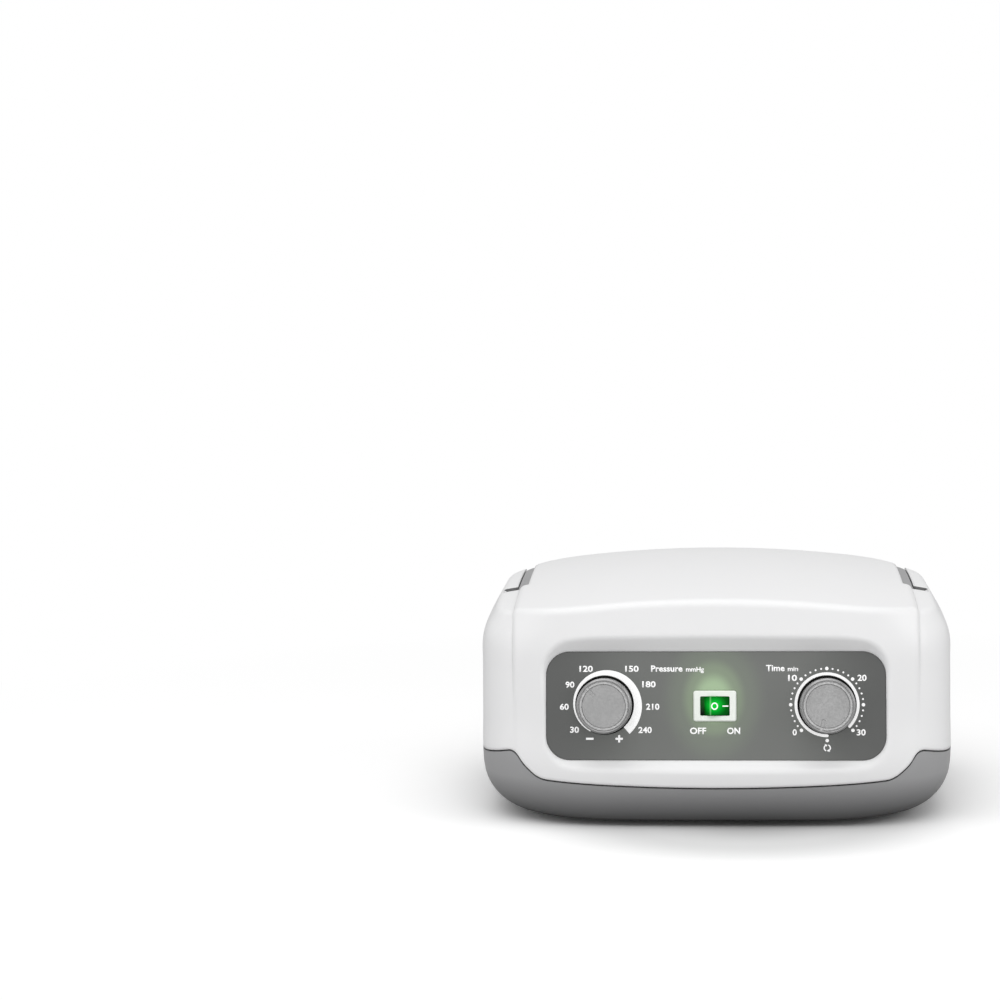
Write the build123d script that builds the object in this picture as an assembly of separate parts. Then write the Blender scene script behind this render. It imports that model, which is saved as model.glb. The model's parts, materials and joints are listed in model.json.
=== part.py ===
from build123d import *
import os
from math import cos, pi, radians, sin, sqrt, tan

# Compression therapy pump: a two-part moulded housing with a sunk control panel, a folding
# carry handle, and a diaphragm compressor and air distributor inside.
# Millimetres, +Z up, front towards -Y, origin on the table under the middle of the whole pump.

# ---------------------------------------------------------------- housing form
HALF_WIDTH = 118.0          # at the waist, across X
HALF_DEPTH = 93.0           # of the core, without the proud belt
FOOT_DROP = 3.0             # housing floor above the table
CROWN_Z = 116.8             # highest point of the core
CROWN_Y = 25.0              # where the roof is highest, front to back
CROWN_RX = 625.0            # roof curve seen from the front
CROWN_RY = 850.0            # roof curve seen from the side
CROWN_ARC = 34.0            # degrees of the roof curve that the form is cut with
CREASE_R = 4.5              # rounding between walls and roof
WALL = 2.6
LEAN_START = CROWN_Z - 26.8 # above this height the side walls lean in
SIDE_LEAN = 0.53
FRONT_LEAN = 0.150
BACK_LEAN = 0.110
PLAN_POWER = (4.24, 4.9)    # superellipse of the plan outline at the floor and above
BOWL_TOP = 27.2             # below this height the walls turn in to the floor
BOWL_SIDE = 21.6
BOWL_END = 8.1
BELT_HALF = HALF_WIDTH - 17.8                # the belt runs up the front and over the roof
BELT_LOW = 15.5             # its lower end, hidden by the base
BELT_PROUD = 2.0
BELT_FOOT = 0.3             # what is left of its height low down
BELT_FADE = (45.0, 90.0)    # heights between which it grows
BELT_EDGE_R = 4.0

# ---------------------------------------------------------------- parting of the two shells
PART_GAP = 0.5
PART_LOW = 20.5             # in the middle of the front
PART_KNEE = (83.0, 23.8)    # where the line starts to climb
PART_MID = (91.6, 28.0)
PART_CLIMB = (95.6, 32.0)
PART_CREST = (102.0, 36.9)
PART_SIDE = (119.0, 32.6)
LIP_RISE = 2.4
LIP_INSET = 1.3
LIP_PLAY = 0.15

# ---------------------------------------------------------------- control panel
PANEL_LEAN = 8.5            # degrees back from upright
PANEL_Y, PANEL_Z = 8.6 - HALF_DEPTH, 60.0
PANEL_W, PANEL_H, PANEL_R, PANEL_T = 166.0, 53.0, 11.5, 2.5
PANEL_PLAY = 0.15
TRAY_T = 2.4
FLARE = 52.0                # slope of the recess walls, degrees from the panel's normal
FLARE_DEPTH = 14.0          # of the cutter, past the housing's wall
RIM_R = 2.8                 # rounding of both recesses' rims
KNOB_U, KNOB_V = 54.4, 0.3  # knob centres on the panel

# ---------------------------------------------------------------- rear panel
REAR_Y, REAR_Z = HALF_DEPTH - 7.0, 53.0
REAR_W, REAR_H, REAR_R, REAR_T = 156.0, 42.0, 6.0, 2.5
REAR_FLARE = 25.0
REAR_SLOT = (2.6, 7.0, 1.2)                  # width, height and corners of a vent slot
REAR_SLOT_ROW = (13, 6.5, -6.0, 14.5)        # count, pitch, first x and height in the row

# ---------------------------------------------------------------- carry handle
ARM_IN, ARM_W = HALF_WIDTH - 22.0, 4.7
ARM_PLAY = 0.5
PIVOT_Y, PIVOT_Z = -8.7, CROWN_Z - 13.5
EYE_R = 6.3
ARM_UNDER = 4.0             # underside of the arms below the pivot
BAR_Y, BAR_LOW = HALF_DEPTH - 16.5, CROWN_Z - 22.8
BAR_BEND = 26.0             # inner plan radius between the arms and the bar
BAR_SWING = 1.5             # more room in front of the bar, which rises on an arc
GRIP_HALF, GRIP_T = 60.0, 8.0
FINGERS_HALF, FINGERS_LOW = 45.0, BAR_LOW - 10.0             # hollow under the bar
HANDLE_FRONT = PIVOT_Y - EYE_R - ARM_PLAY    # front end of the slots
HANDLE_SINK = 0.3
SLOT_WALL = 2.0
PIVOT_PIN_R = 2.4
PIVOT_PIN_X = (ARM_IN - 12.0, ARM_IN + 4.5)  # from the head's bearing face to the tip
PIVOT_HEAD_R, PIVOT_HEAD_T = 4.2, 1.6
PIVOT_BOSS_R = 5.5
NOTCH_LEN, NOTCH_LOW = 8.0, PIVOT_Z - 1.3    # nail notch beside each arm's front end
NOTCH_END = (ARM_IN + 10.5, PIVOT_Z + 2.0)   # x and z where its floor runs out

# ---------------------------------------------------------------- feet and screws
FOOT_X, FOOT_Y, FOOT_R = 68.0, 56.0, 8.0
BOSS_X, BOSS_Y, BOSS_R = 84.0, 44.0, 5.0
SCREW_R, SCREW_HEAD_R = 1.75, 3.4
SCREW_SEAT, SCREW_TIP = 9.0, 44.0            # under the head's bearing face; tip
SCREW_PLAY, HEAD_PLAY, POST_PLAY = 0.2, 0.4, 0.3
STEM_R, STEM_LEN, STEM_PLAY = 3.0, 6.0, 0.1  # of the rubber feet
PILLAR_R = 3.0                               # pillars under the control board
FLOOR_SLOT = (3.0, 26.0, 1.4)                # width, length and corners of a vent slot
FLOOR_SLOT_ROW = (10, 6.0, -27.0)            # count, pitch and first, from the compressor

# ---------------------------------------------------------------- knobs
KNOB_R, KNOB_RISE, KNOB_SINK = 13.5, 13.6, 1.4
KNOB_WALL, KNOB_TOP_T = 1.6, 1.2
KNOB_EDGE = 0.8             # bevel round its top
KNOB_RIM_PLAY = 0.9         # between the skirt and the panel's hole
HUB_R = 6.0
KNOB_RING_R, KNOB_RING_W, KNOB_RING_RISE = 11.9, 1.2, 0.3
CAP_T = 0.8
SPINDLE_R, SPINDLE_BACK = 3.0, 18.0
BUSH_R, BUSH_RISE = 4.5, 2.0
REGULATOR_R, REGULATOR_D = 15.0, 22.0
REGULATOR_OUTLET = 16.0     # of its barb, behind the panel's face
TIMER_R, TIMER_D = 17.0, 20.0
BUSH_NUT = (11.0, 2.2)      # across its flats; thickness
POINTER_W, POINTER_LEN, POINTER_DEEP = 1.6, 5.4, 0.35
PRESSURE_REST, TIMER_REST = -43.0, 196.0     # pointers, degrees clockwise from the top

# ---------------------------------------------------------------- power switch
SWITCH_U = -0.3
BEZEL_W, BEZEL_H, BEZEL_T = 21.0, 15.0, 1.8
ROCKER_W, ROCKER_H = 14.4, 9.5               # opening in the bezel
ROCKER_TILT = 16.0
ROCKER_AXIS = -5.0                           # below the panel face
ROCKER_R = 0.8                               # of its pin
ROCKER_OUTLINE = ((-4.7, 8.2), (0, 7.7), (4.7, 8.2), (6.0, 5.0), (5.2, -0.6), (2.0, -1.6),
                  (-2.0, -1.6), (-5.2, -0.6), (-6.0, 5.0), (-4.7, 8.2))
SWITCH_BODY_W, SWITCH_BODY_H, SWITCH_BODY_D = 18.8, 12.8, 20.0
SWITCH_BODY_R, SWITCH_PLAY = 0.8, 0.2
LAMP_R, LAMP_BACK, LAMP_FRONT = 2.4, 13.0, 10.0

# ---------------------------------------------------------------- compressor
COMP_X, COMP_Y, COMP_Z = -40.0, 4.0, 46.0    # middle of the armature
HEAD_SIZE, HEAD_T, COVER_T = 54.0, 16.0, 8.0
FRAME_HALF, FRAME_T = 30.0, 2.5              # half its length; sheet thickness
FRAME_BASE = 13.0                            # underside of its base above the table
STROKE = 1.2                                 # of the armature, each way
ROD_R = 3.0
CARRIER_X, CARRIER_Y, CARRIER_Z = 40.0, 8.0, 24.0
MAGNET_T = 2.0
DISC_R, DISC_T = 12.0, 1.6
DIAPHRAGM_R, DIAPHRAGM_T = 23.0, 1.5
DIAPHRAGM_PLAY = 0.3
CHAMBER_R, CHAMBER_T = 18.0, 5.4
BOLT_R, BOLT_HEAD_R, BOLT_HEAD_T = 1.6, 3.0, 2.2
BOLTS = [(y, z) for y in (-22.5, 22.5) for z in (-22.5, 22.5)]
PORT_R, FLAP_R, FLAP_T, VALVE_Y = 1.5, 7.0, 0.8, 10.5
NUT_R, NUT_T = 4.5, 2.6
AIR_GAP = 1.0                                # between magnets and core legs
CORE_LEG, CORE_BACK = 13.0, 7.0
COIL_HALF_X, COIL_HALF_Z = 13.5, 21.0
GROMMET_R, GROMMET_LOW, GROMMET_TOP = 6.0, 10.0, 18.0
MOUNT_X, MOUNT_Y = 22.0, 38.0

# ---------------------------------------------------------------- air reservoir
TANK_R, TANK_HALF, TANK_RISE = 12.0, 28.0, 43.0
TANK_OUTLETS = (-15.0, 15.0)

# ---------------------------------------------------------------- air distributor
DIST_X, DIST_Y = 64.0, 6.0
DIST_R, DIST_FOOT = 25.0, 10.0
MOTOR_R, MOTOR_H = 24.0, 18.0
CHEST_H, CHEST_WALL = 12.0, 4.7
ROTOR_R, ROTOR_T, ROTOR_GAP = 20.0, 5.0, 0.1
VALVE_H = 18.0
PORTS = (74.0, 90.0, 106.0, 122.0)           # bearings of the four outlets, degrees from +X

# ---------------------------------------------------------------- hose sockets at the rear
SOCKETS = (12.0, 54.0)
SOCKET_W, SOCKET_H, SOCKET_D = 36.0, 14.0, 12.0
SOCKET_R, SOCKET_WALL, SOCKET_PLAY = 5.0, 1.5, 0.2
COLLAR_OVER, COLLAR_T = 2.0, 1.5             # rim on the rear panel
NIPPLE_PITCH = 9.0
MANIFOLD = (-8.0, 74.0, 60.0, 72.0)          # x and y extents
INLETS = (68.0, 58.0, 48.0, 38.0)            # x of the manifold's four inlets

# ---------------------------------------------------------------- mains inlet
MAINS_X = -46.0
MAINS_W, MAINS_H, MAINS_D, MAINS_R = 47.0, 27.0, 26.0, 1.0
MAINS_OVER, MAINS_T = 1.5, 2.0               # its flange
MAINS_CUP = (-9.0, 24.0, 17.0, 3.0, 17.0)    # middle, width, height, corners, depth
MAINS_PINS = ((-7.0, -2.0), (0.0, 2.0), (7.0, -2.0))
FUSE_X, FUSE_W, FUSE_H, FUSE_D = 14.0, 13.0, 20.0, 14.0

# ---------------------------------------------------------------- control board
BOARD = (20.0, 76.0, -66.0, -30.0)           # x and y extents
BOARD_Z, BOARD_T = 14.0, 1.6
BOARD_SCREW_R = 1.5

# ---------------------------------------------------------------- air tubes
TUBE_R, TUBE_BORE = 3.2, 2.0
BARB_R, BARB_BORE, BARB_LEN = 1.95, 1.2, 8.0

KNOBS_PROUD = 3.37          # the housing sits this far back of the origin, as the knobs stand out
BIG = 400.0
OVER = 1.0                  # how far cutters reach past the faces they open


# ================================================================ housing envelope
def quarter(u):
    """Rise of a quarter circle, from 0 at u = 0 to 1 at u = 1."""
    u = min(1.0, max(0.0, u))
    return 1 - sqrt(1 - u * u)


def bowl(z):
    return quarter((BOWL_TOP - z) / (BOWL_TOP - FOOT_DROP))


def half_width(z):
    return HALF_WIDTH - SIDE_LEAN * max(0.0, z - LEAN_START) - BOWL_SIDE * bowl(z)


def front_y(z):
    return -HALF_DEPTH + FRONT_LEAN * max(z - BOWL_TOP, 0.0) + BOWL_END * bowl(z)


def back_y(z):
    return HALF_DEPTH - BACK_LEAN * max(z - BOWL_TOP, 0.0) - BOWL_END * bowl(z)


def belt_rise(z):
    """Height of the belt above the core: it fades out towards the floor."""
    low, high = BELT_FADE
    fade = min(1.0, max(0.0, (z - low) / (high - low)))
    return BELT_FOOT + (BELT_PROUD - BELT_FOOT) * fade * fade * (3 - 2 * fade)


def squareness(z):
    """Superellipse power of the plan outline: rounder at the floor, squarer above."""
    low, high = PLAN_POWER
    return low + (high - low) * min(1.0, max(0.0, (z - FOOT_DROP) / 30.0))


def plan_outline(z, inset, belt):
    """Closed plan outline of the housing at one height."""
    level = max(z - inset, FOOT_DROP) if z < BOWL_TOP else z
    grow = belt * belt_rise(level) - inset
    a = half_width(level) - inset
    front, back = front_y(level) - grow, back_y(level) + grow
    power, count = squareness(level), 24
    points = []
    for i in range(count):
        angle = 2 * pi * (i + 0.5) / count
        c, s = cos(angle), sin(angle)
        reach = (abs(c) ** power + abs(s) ** power) ** (-1 / power)
        points.append((a * reach * c, (front + back) / 2 + (back - front) / 2 * reach * s))
    return Face(Wire(Plane.XY.offset(z) * Spline(*points, periodic=True)))


def envelope(inset=0.0, belt=0):
    """Solid form of the housing, moved inwards by inset; belt = 1 is the proud middle."""
    floor, kink = FOOT_DROP + inset, LEAN_START
    heights = [floor + rise for rise in (0, 0.6, 2.4, 6, 11, 17, 25, 45)]
    heights += [kink + rise for rise in (-25, -12, -4, 3, 10, 18, 26, 35)]
    walls = loft([plan_outline(z, inset, belt) for z in heights])
    top = CROWN_Z - inset + belt * BELT_PROUD
    across, along = CROWN_RX - inset, CROWN_RY - inset
    end = 130.0

    def roof(y):
        return top - (y - CROWN_Y) ** 2 / (2 * along)

    curve = ThreePointArc((end, roof(end)), (CROWN_Y, top), (-end, roof(-end)))
    sides = Polyline((-end, roof(-end)), (-end, -60), (end, -60), (end, roof(end)))
    pivot = Axis((0, 0, top - across), (0, 1, 0))
    profile = Plane.YZ * make_face(sides + curve)
    crown = revolve(profile.rotate(pivot, -CROWN_ARC / 2), pivot, CROWN_ARC)
    form = walls & crown
    crease = [e for e in form.edges() if e.center().Z > CROWN_Z - 32
              and e.bounding_box().size.X > HALF_WIDTH / 2]
    return fillet(crease, CREASE_R - 0.8 * inset)


def skin():
    """Outer form: the core, with the belt proud of it over the middle, its edges rounded."""
    belt = envelope(belt=1) & block(-BELT_HALF, BELT_HALF, -BIG, BIG, BELT_LOW, BIG)
    rim = [e for e in belt.edges() if abs(abs(e.center().X) - BELT_HALF) < 0.01
           and e.center().Z > BELT_LOW + 1]
    return envelope() + fillet(rim, BELT_EDGE_R)


def below_parting(shift):
    """Everything below the wavy parting line moved up by shift."""
    right = [PART_KNEE, PART_MID, PART_CLIMB, PART_CREST]
    left = [(-x, z) for x, z in reversed(right)]
    climb = Spline(*right, tangents=[(1, 0.10), (1, -0.05)])
    drop = Spline(*left, tangents=[(1, 0.05), (1, -0.10)])
    belly = ThreePointArc(left[-1], (0, PART_LOW), right[0])
    side = Polyline(right[-1], PART_SIDE, (BIG / 2, PART_SIDE[1]), (BIG / 2, -BIG / 4),
                    (-BIG / 2, -BIG / 4), (-BIG / 2, PART_SIDE[1]),
                    (-PART_SIDE[0], PART_SIDE[1]), left[0])
    profile = make_face(climb + drop + belly + side)
    return Pos(0, 0, shift) * extrude(Plane.XZ * profile, BIG / 2, both=True)


# ================================================================ frames to build in
def panel_plane():
    lean = radians(PANEL_LEAN)
    return Plane(origin=(0, PANEL_Y, PANEL_Z), x_dir=(1, 0, 0),
                 z_dir=(0, -cos(lean), sin(lean)))


def rear_plane():
    """On the rear panel's outer face; its x runs towards -X."""
    return Plane(origin=(0, REAR_Y, REAR_Z), x_dir=(-1, 0, 0), z_dir=(0, 1, 0))


def block(x0, x1, y0, y1, z0, z1):
    return Pos((x0 + x1) / 2, (y0 + y1) / 2, (z0 + z1) / 2) * Box(x1 - x0, y1 - y0, z1 - z0)


def rod(radius, z0, z1):
    return Pos(0, 0, (z0 + z1) / 2) * Cylinder(radius, z1 - z0)


def plate(width, height, radius, z0, z1):
    return extrude(Plane.XY.offset(z0) * RectangleRounded(width, height, radius), z1 - z0)


def along_x(shape):
    """Turns a part built along Z so that it runs along +X."""
    return Rot(0, 90, 0) * shape


def mirrored(shape):
    """The part and its mirror image left of the middle."""
    return [shape, mirror(shape, Plane.YZ)]


def flared_bay(grow, size, seat, slope):
    """Cutter for a sunk panel: a straight seat, then walls that open outwards."""
    width, height, radius = size[0] + 2 * grow, size[1] + 2 * grow, size[2] + grow
    spread = 2 * FLARE_DEPTH * tan(radians(slope))
    inner = RectangleRounded(width, height, radius)
    outer = RectangleRounded(width + spread, height + spread, radius + spread / 2)
    flare = loft([inner.face(), (Plane.XY.offset(FLARE_DEPTH) * outer).face()], ruled=True)
    return flare + plate(width, height, radius, -seat, 0.01)


def panel_bay(grow, behind):
    size = (PANEL_W, PANEL_H, PANEL_R)
    return panel_plane() * flared_bay(grow, size, PANEL_T + behind, FLARE)


def rear_bay(grow, behind):
    size = (REAR_W, REAR_H, REAR_R)
    return rear_plane() * flared_bay(grow, size, REAR_T + behind, REAR_FLARE)


def round_rim(body, plane, height):
    """Body with the outer rim of the recess round that plane rounded."""
    near = height / 2 + FLARE_DEPTH
    rim = [e for e in body.edges() if e.geom_type == GeomType.BSPLINE and e.length > 3 * RIM_R
           and abs(e.center().X) < BELT_HALF - BELT_EDGE_R - 1.0
           and abs(e.center().Z - plane.origin.Z) < near
           and e.center().Y * plane.z_dir.Y > 0]
    return fillet(rim, RIM_R)


# ================================================================ handle geometry
def handle_band(y0, low, top):
    """Band of even width round the handle's plan outline, behind y0."""
    outer = RectangleRounded(2 * (ARM_IN + ARM_W), 2 * (BAR_Y + ARM_W), BAR_BEND + ARM_W)
    inner = RectangleRounded(2 * ARM_IN, 2 * BAR_Y, BAR_BEND)
    band = extrude(Plane.XY.offset(low) * (outer - inner), top - low)
    return band & block(-BIG, BIG, y0, BIG, low, top)


def handle_slots(grow):
    """Channel for the handle, open upwards and to the rear, and the hollow for fingers."""
    play = ARM_PLAY + grow
    low = PIVOT_Z - EYE_R - play
    inner = plate(2 * (ARM_IN - play), 2 * (BAR_Y - BAR_SWING - play), BAR_BEND, 0, BIG)
    side = ARM_IN + ARM_W + play
    arms = block(-side, side, HANDLE_FRONT - grow, BIG, low, BIG) - inner
    bar = block(-side, side, BAR_Y - BAR_BEND - play, BIG, BAR_LOW - play, BIG) - inner
    fingers = block(-FINGERS_HALF - grow, FINGERS_HALF + grow, BAR_Y - play, BIG,
                    FINGERS_LOW - grow, BAR_LOW)
    return [arms, bar, fingers]


def nail_notches(grow):
    """Notches beside the arms' front ends, with a floor that climbs outwards."""
    x0, (x1, z1) = ARM_IN + ARM_W, NOTCH_END
    reach = 2 * x1 - x0
    outline = Polyline((x0, NOTCH_LOW - grow), (x1, z1 - grow), (reach, 2 * z1 - NOTCH_LOW),
                       (reach, BIG / 2), (x0, BIG / 2), (x0, NOTCH_LOW - grow))
    middle = HANDLE_FRONT + NOTCH_LEN / 2
    notch = extrude(Plane.XZ * make_face(outline), NOTCH_LEN / 2 + grow, both=True)
    return mirrored(Pos(0, middle, 0) * notch)


def on_pivot(radius, x0, x1):
    """Round bar along the handle's axis."""
    return Pos(0, PIVOT_Y, PIVOT_Z) * along_x(rod(radius, x0, x1))


# ================================================================ shells
def screw_posts():
    """Posts that the two shells are screwed together through."""
    post = rod(BOSS_R, FOOT_DROP, BIG / 2)
    return [Pos(x, y, 0) * post for x in (-BOSS_X, BOSS_X) for y in (-BOSS_Y, BOSS_Y)]


def upper_cavity():
    """Hollow of the upper shell: what its trays, channels and posts leave free."""
    solid = [panel_bay(TRAY_T, TRAY_T), rear_bay(TRAY_T, TRAY_T)]
    solid += handle_slots(SLOT_WALL)
    solid += nail_notches(SLOT_WALL)
    solid += mirrored(on_pivot(PIVOT_BOSS_R, PIVOT_PIN_X[0], ARM_IN))
    return envelope(WALL) - solid - screw_posts()


def panel_holes(depth):
    """Holes for the two bushes and the switch body, in the panel's own frame."""
    holes = [Pos(u, KNOB_V, 0) * rod(BUSH_R + 0.1, -depth, 1.0) for u in (-KNOB_U, KNOB_U)]
    holes.append(Pos(SWITCH_U, 0, 0) * plate(SWITCH_BODY_W + 2 * SWITCH_PLAY, SWITCH_BODY_H + 2 * SWITCH_PLAY,
                                             SWITCH_BODY_R, -depth, OVER))
    return holes


def rear_holes(depth):
    """Holes for the hose sockets and the mains inlet, in the rear panel's own frame."""
    play = 2 * SOCKET_PLAY
    socket = plate(SOCKET_W + play, SOCKET_H + play, SOCKET_R, -depth, OVER)
    holes = [Pos(-x, 0, 0) * socket for x in SOCKETS]
    inlet = plate(MAINS_W + play, MAINS_H + play, MAINS_R, -depth, OVER)
    holes.append(Pos(-MAINS_X, 0, 0) * inlet)
    return holes


def rear_slots(depth):
    """Ventilation slots above the hose sockets, in the rear panel's own frame."""
    count, pitch, first, rise = REAR_SLOT_ROW
    slot = Pos(0, rise, 0) * plate(*REAR_SLOT, -depth, OVER)
    return [Pos(-first - pitch * i, 0, 0) * slot for i in range(count)]


def upper_housing():
    body = round_rim(skin() - panel_bay(PANEL_PLAY, 0), panel_plane(), PANEL_H)
    body = round_rim(body - rear_bay(PANEL_PLAY, 0), rear_plane(), REAR_H)
    lip = envelope(LIP_INSET) - envelope(WALL + 0.3)
    cuts = [below_parting(PART_GAP / 2), lip & below_parting(LIP_RISE + 2 * LIP_PLAY)]
    cuts += [panel_plane() * hole for hole in panel_holes(PANEL_T + TRAY_T + 2.0)]
    cuts += [rear_plane() * hole for hole in rear_holes(REAR_T + TRAY_T + 2.0)]
    cuts += [rear_plane() * hole for hole in rear_slots(REAR_T + TRAY_T + 2.0)]
    cuts += handle_slots(0.0)
    cuts += nail_notches(0.0)
    cuts += mirrored(on_pivot(PIVOT_PIN_R, PIVOT_PIN_X[0] - OVER, ARM_IN))
    cuts += [Pos(x, y, 0) * rod(SCREW_R, 20.0, SCREW_TIP + 1.0)
             for x in (-BOSS_X, BOSS_X) for y in (-BOSS_Y, BOSS_Y)]
    return body - upper_cavity() - cuts


def lower_housing():
    """Base tray of plain core form, with an upstanding lip inside the upper shell."""
    tray = (envelope() & below_parting(-PART_GAP / 2)) + (
        envelope(LIP_INSET + LIP_PLAY) & below_parting(LIP_RISE))
    kept = screw_posts()
    kept += [Pos(COMP_X + x, COMP_Y + y, 0) * rod(GROMMET_R, FOOT_DROP, GROMMET_LOW)
             for x in (-MOUNT_X, MOUNT_X) for y in (-MOUNT_Y, MOUNT_Y)]
    kept += [Pos(x, y, 0) * rod(PILLAR_R, FOOT_DROP, BOARD_Z) for x, y in board_corners()]
    kept.append(Pos(DIST_X, DIST_Y, 0) * rod(DIST_R - 3.0, FOOT_DROP, DIST_FOOT))
    cavity = envelope(WALL) - kept
    cuts = []
    for x in (-BOSS_X, BOSS_X):
        for y in (-BOSS_Y, BOSS_Y):
            cuts.append(Pos(x, y, 0) * rod(SCREW_R + SCREW_PLAY, 0, 40.0))
            cuts.append(Pos(x, y, 0) * rod(SCREW_HEAD_R + HEAD_PLAY, 0, SCREW_SEAT))
            upper_post = Pos(x, y, 0) * rod(BOSS_R + POST_PLAY, SCREW_SEAT, 50.0)
            cuts.append(upper_post - below_parting(-PART_GAP / 2))
    cuts += [Pos(x, y, 0) * rod(BOARD_SCREW_R, FOOT_DROP + 2.0, BOARD_Z + 1)
             for x, y in board_corners()]
    cuts += [Pos(x, y, 0) * rod(STEM_R + STEM_PLAY, 0, 12.0) for x, y in foot_places()]
    cuts += [Pos(COMP_X + x, COMP_Y + y, 0) * rod(SCREW_R, FOOT_DROP + 1.4, 20.0)
             for x in (-MOUNT_X, MOUNT_X) for y in (-MOUNT_Y, MOUNT_Y)]
    count, pitch, first = FLOOR_SLOT_ROW
    slot = plate(*FLOOR_SLOT, 0, 12.0)
    cuts += [Pos(COMP_X + first + pitch * i, COMP_Y, 0) * slot for i in range(count)]
    return tray - cavity - cuts


# ================================================================ small shared shapes
def foot_places():
    return [(x, y) for x in (-FOOT_X, FOOT_X) for y in (-FOOT_Y, FOOT_Y)]


def board_corners():
    x0, x1, y0, y1 = BOARD
    return [(x, y) for x in (x0 + 4.0, x1 - 4.0) for y in (y0 + 4.0, y1 - 4.0)]


def barb(length=BARB_LEN):
    """Plain hose spigot standing on z = 0, with a bore."""
    shape = rod(BARB_R, -0.01, length)
    return shape - rod(BARB_BORE, -1.0, length + 1.0)


def hex_nut(across, thickness, bore):
    blank = extrude(RegularPolygon(across / 2, 6, major_radius=False), thickness)
    return blank - rod(bore, -1.0, thickness + 1.0)


def pan_screw(radius, head_r, tip, seat, head_t=2.4):
    """Screw along Z with its head under the seat, pointing up."""
    head = rod(head_r, seat - head_t, seat) - Pos(0, 0, seat - head_t) * Box(4.4, 1.0, 2.0)
    return rod(radius, seat - 0.01, tip) + head - Pos(0, 0, seat - head_t) * Box(1.0, 4.4, 2.0)


def hose(*points):
    """Hollow tube along straight runs with tangent arcs as large as the runs allow."""
    corners = [Vector(*p) for p in points]
    radii = []
    for a, b, c in zip(corners, corners[1:], corners[2:]):
        turn = radians((b - a).get_angle(c - b))
        radii.append(0.45 * min((b - a).length, (c - b).length) / tan(turn / 2))
    path = FilletPolyline(*corners, radius=radii) if radii else Line(*corners)
    start = Plane(origin=path @ 0, z_dir=path % 0)
    return sweep(start * Circle(TUBE_R), path) - sweep(start * Circle(TUBE_BORE), path)


# ================================================================ outside pieces
def control_panel():
    face = plate(PANEL_W, PANEL_H, PANEL_R, -PANEL_T, 0)
    holes = [Pos(u, KNOB_V, 0) * rod(KNOB_R + KNOB_RIM_PLAY, -PANEL_T - 1, 1) for u in (-KNOB_U, KNOB_U)]
    holes.append(panel_holes(PANEL_T + 1.0)[2])
    return panel_plane() * (face - holes)


def rear_panel():
    face = plate(REAR_W, REAR_H, REAR_R, -REAR_T, 0)
    return rear_plane() * (face - rear_holes(REAR_T + 1.0) - rear_slots(REAR_T + 1.0))


def knob():
    """Hollow knob on its own axis, panel face at z = 0."""
    foot, top, seat = -KNOB_SINK, KNOB_RISE, KNOB_RISE - CAP_T
    under = seat - KNOB_TOP_T
    ring, inner = KNOB_RING_R, KNOB_R - KNOB_WALL
    low, high = top - KNOB_RING_RISE, top + KNOB_RING_RISE
    outline = Polyline(
        (inner, foot), (KNOB_R, foot), (KNOB_R, top - KNOB_EDGE), (KNOB_R - KNOB_EDGE, top),
        (ring + 0.1, low), (ring - 0.1, high), (ring - KNOB_RING_W, high),
        (ring - KNOB_RING_W, seat), (0, seat), (0, under), (inner, under), (inner, foot))
    shell = revolve(Plane.XZ * make_face(outline), Axis.Z)
    hub = rod(HUB_R, 4.0, under + 0.2)
    bore = rod(SPINDLE_R + 0.02, 3.0, under - 0.4)
    return shell + hub - bore


def knob_cap():
    top = KNOB_RISE
    return rod(KNOB_RING_R - KNOB_RING_W - 0.1, top - CAP_T, top - 0.15)


def pointer(clockwise):
    """Engraved line from the raised ring towards the middle."""
    middle = KNOB_RING_R - POINTER_LEN / 2 + 0.3
    line = Pos(0, middle, KNOB_RISE) * Box(POINTER_W, POINTER_LEN, 2 * POINTER_DEEP)
    return Rot(0, 0, -clockwise) * line


def spindle():
    """Spindle with a flat, from inside the control to inside the knob."""
    top = KNOB_RISE - CAP_T - 1.7
    flat = Pos(0, SPINDLE_R, top) * Box(8.0, 1.4, 10.0)
    return rod(SPINDLE_R, -SPINDLE_BACK, top) - flat


def control_body(radius, depth):
    """Round control behind the tray, with its threaded bush through it."""
    back = -PANEL_T - TRAY_T
    body = rod(radius, back - depth, back) + rod(BUSH_R, back, BUSH_RISE)
    return body - rod(SPINDLE_R + 0.06, -SPINDLE_BACK - 0.5, BUSH_RISE + OVER)


def at_knob(u, shape):
    return panel_plane() * (Pos(u, KNOB_V, 0) * shape)


def controls():
    regulator = control_body(REGULATOR_R, REGULATOR_D)
    outlet = Pos(0, 0, REGULATOR_R - 0.1) * barb()
    regulator += Pos(0, 0, -REGULATOR_OUTLET) * (Rot(-90, 0, 0) * outlet)
    timer = control_body(TIMER_R, TIMER_D)
    back = PANEL_T + TRAY_T + TIMER_D
    terminals = [Pos(x, 0, -back - 5.0) * Box(1.0, 6.0, 10.0) for x in (-8.0, 0.0, 8.0)]
    PARTS["pressure_regulator"] = at_knob(-KNOB_U, regulator)
    PARTS["timer_body"] = at_knob(KNOB_U, timer)
    PARTS["timer_terminals"] = at_knob(KNOB_U, Compound(terminals))
    nut = Pos(0, 0, -PANEL_T) * hex_nut(*BUSH_NUT, BUSH_R + 0.02)
    PARTS["bush_nuts"] = Compound([at_knob(u, nut) for u in (-KNOB_U, KNOB_U)])
    for name, u, rest in (("pressure", -KNOB_U, PRESSURE_REST), ("timer", KNOB_U, TIMER_REST)):
        PARTS[name + "_knob"] = at_knob(u, knob() - pointer(rest))
        PARTS[name + "_knob_cap"] = at_knob(u, knob_cap() - pointer(rest))
        PARTS[name + "_spindle"] = at_knob(u, Rot(0, 0, -rest) * spindle())


def at_switch(shape):
    return panel_plane() * (Pos(SWITCH_U, 0, 0) * shape)


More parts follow.
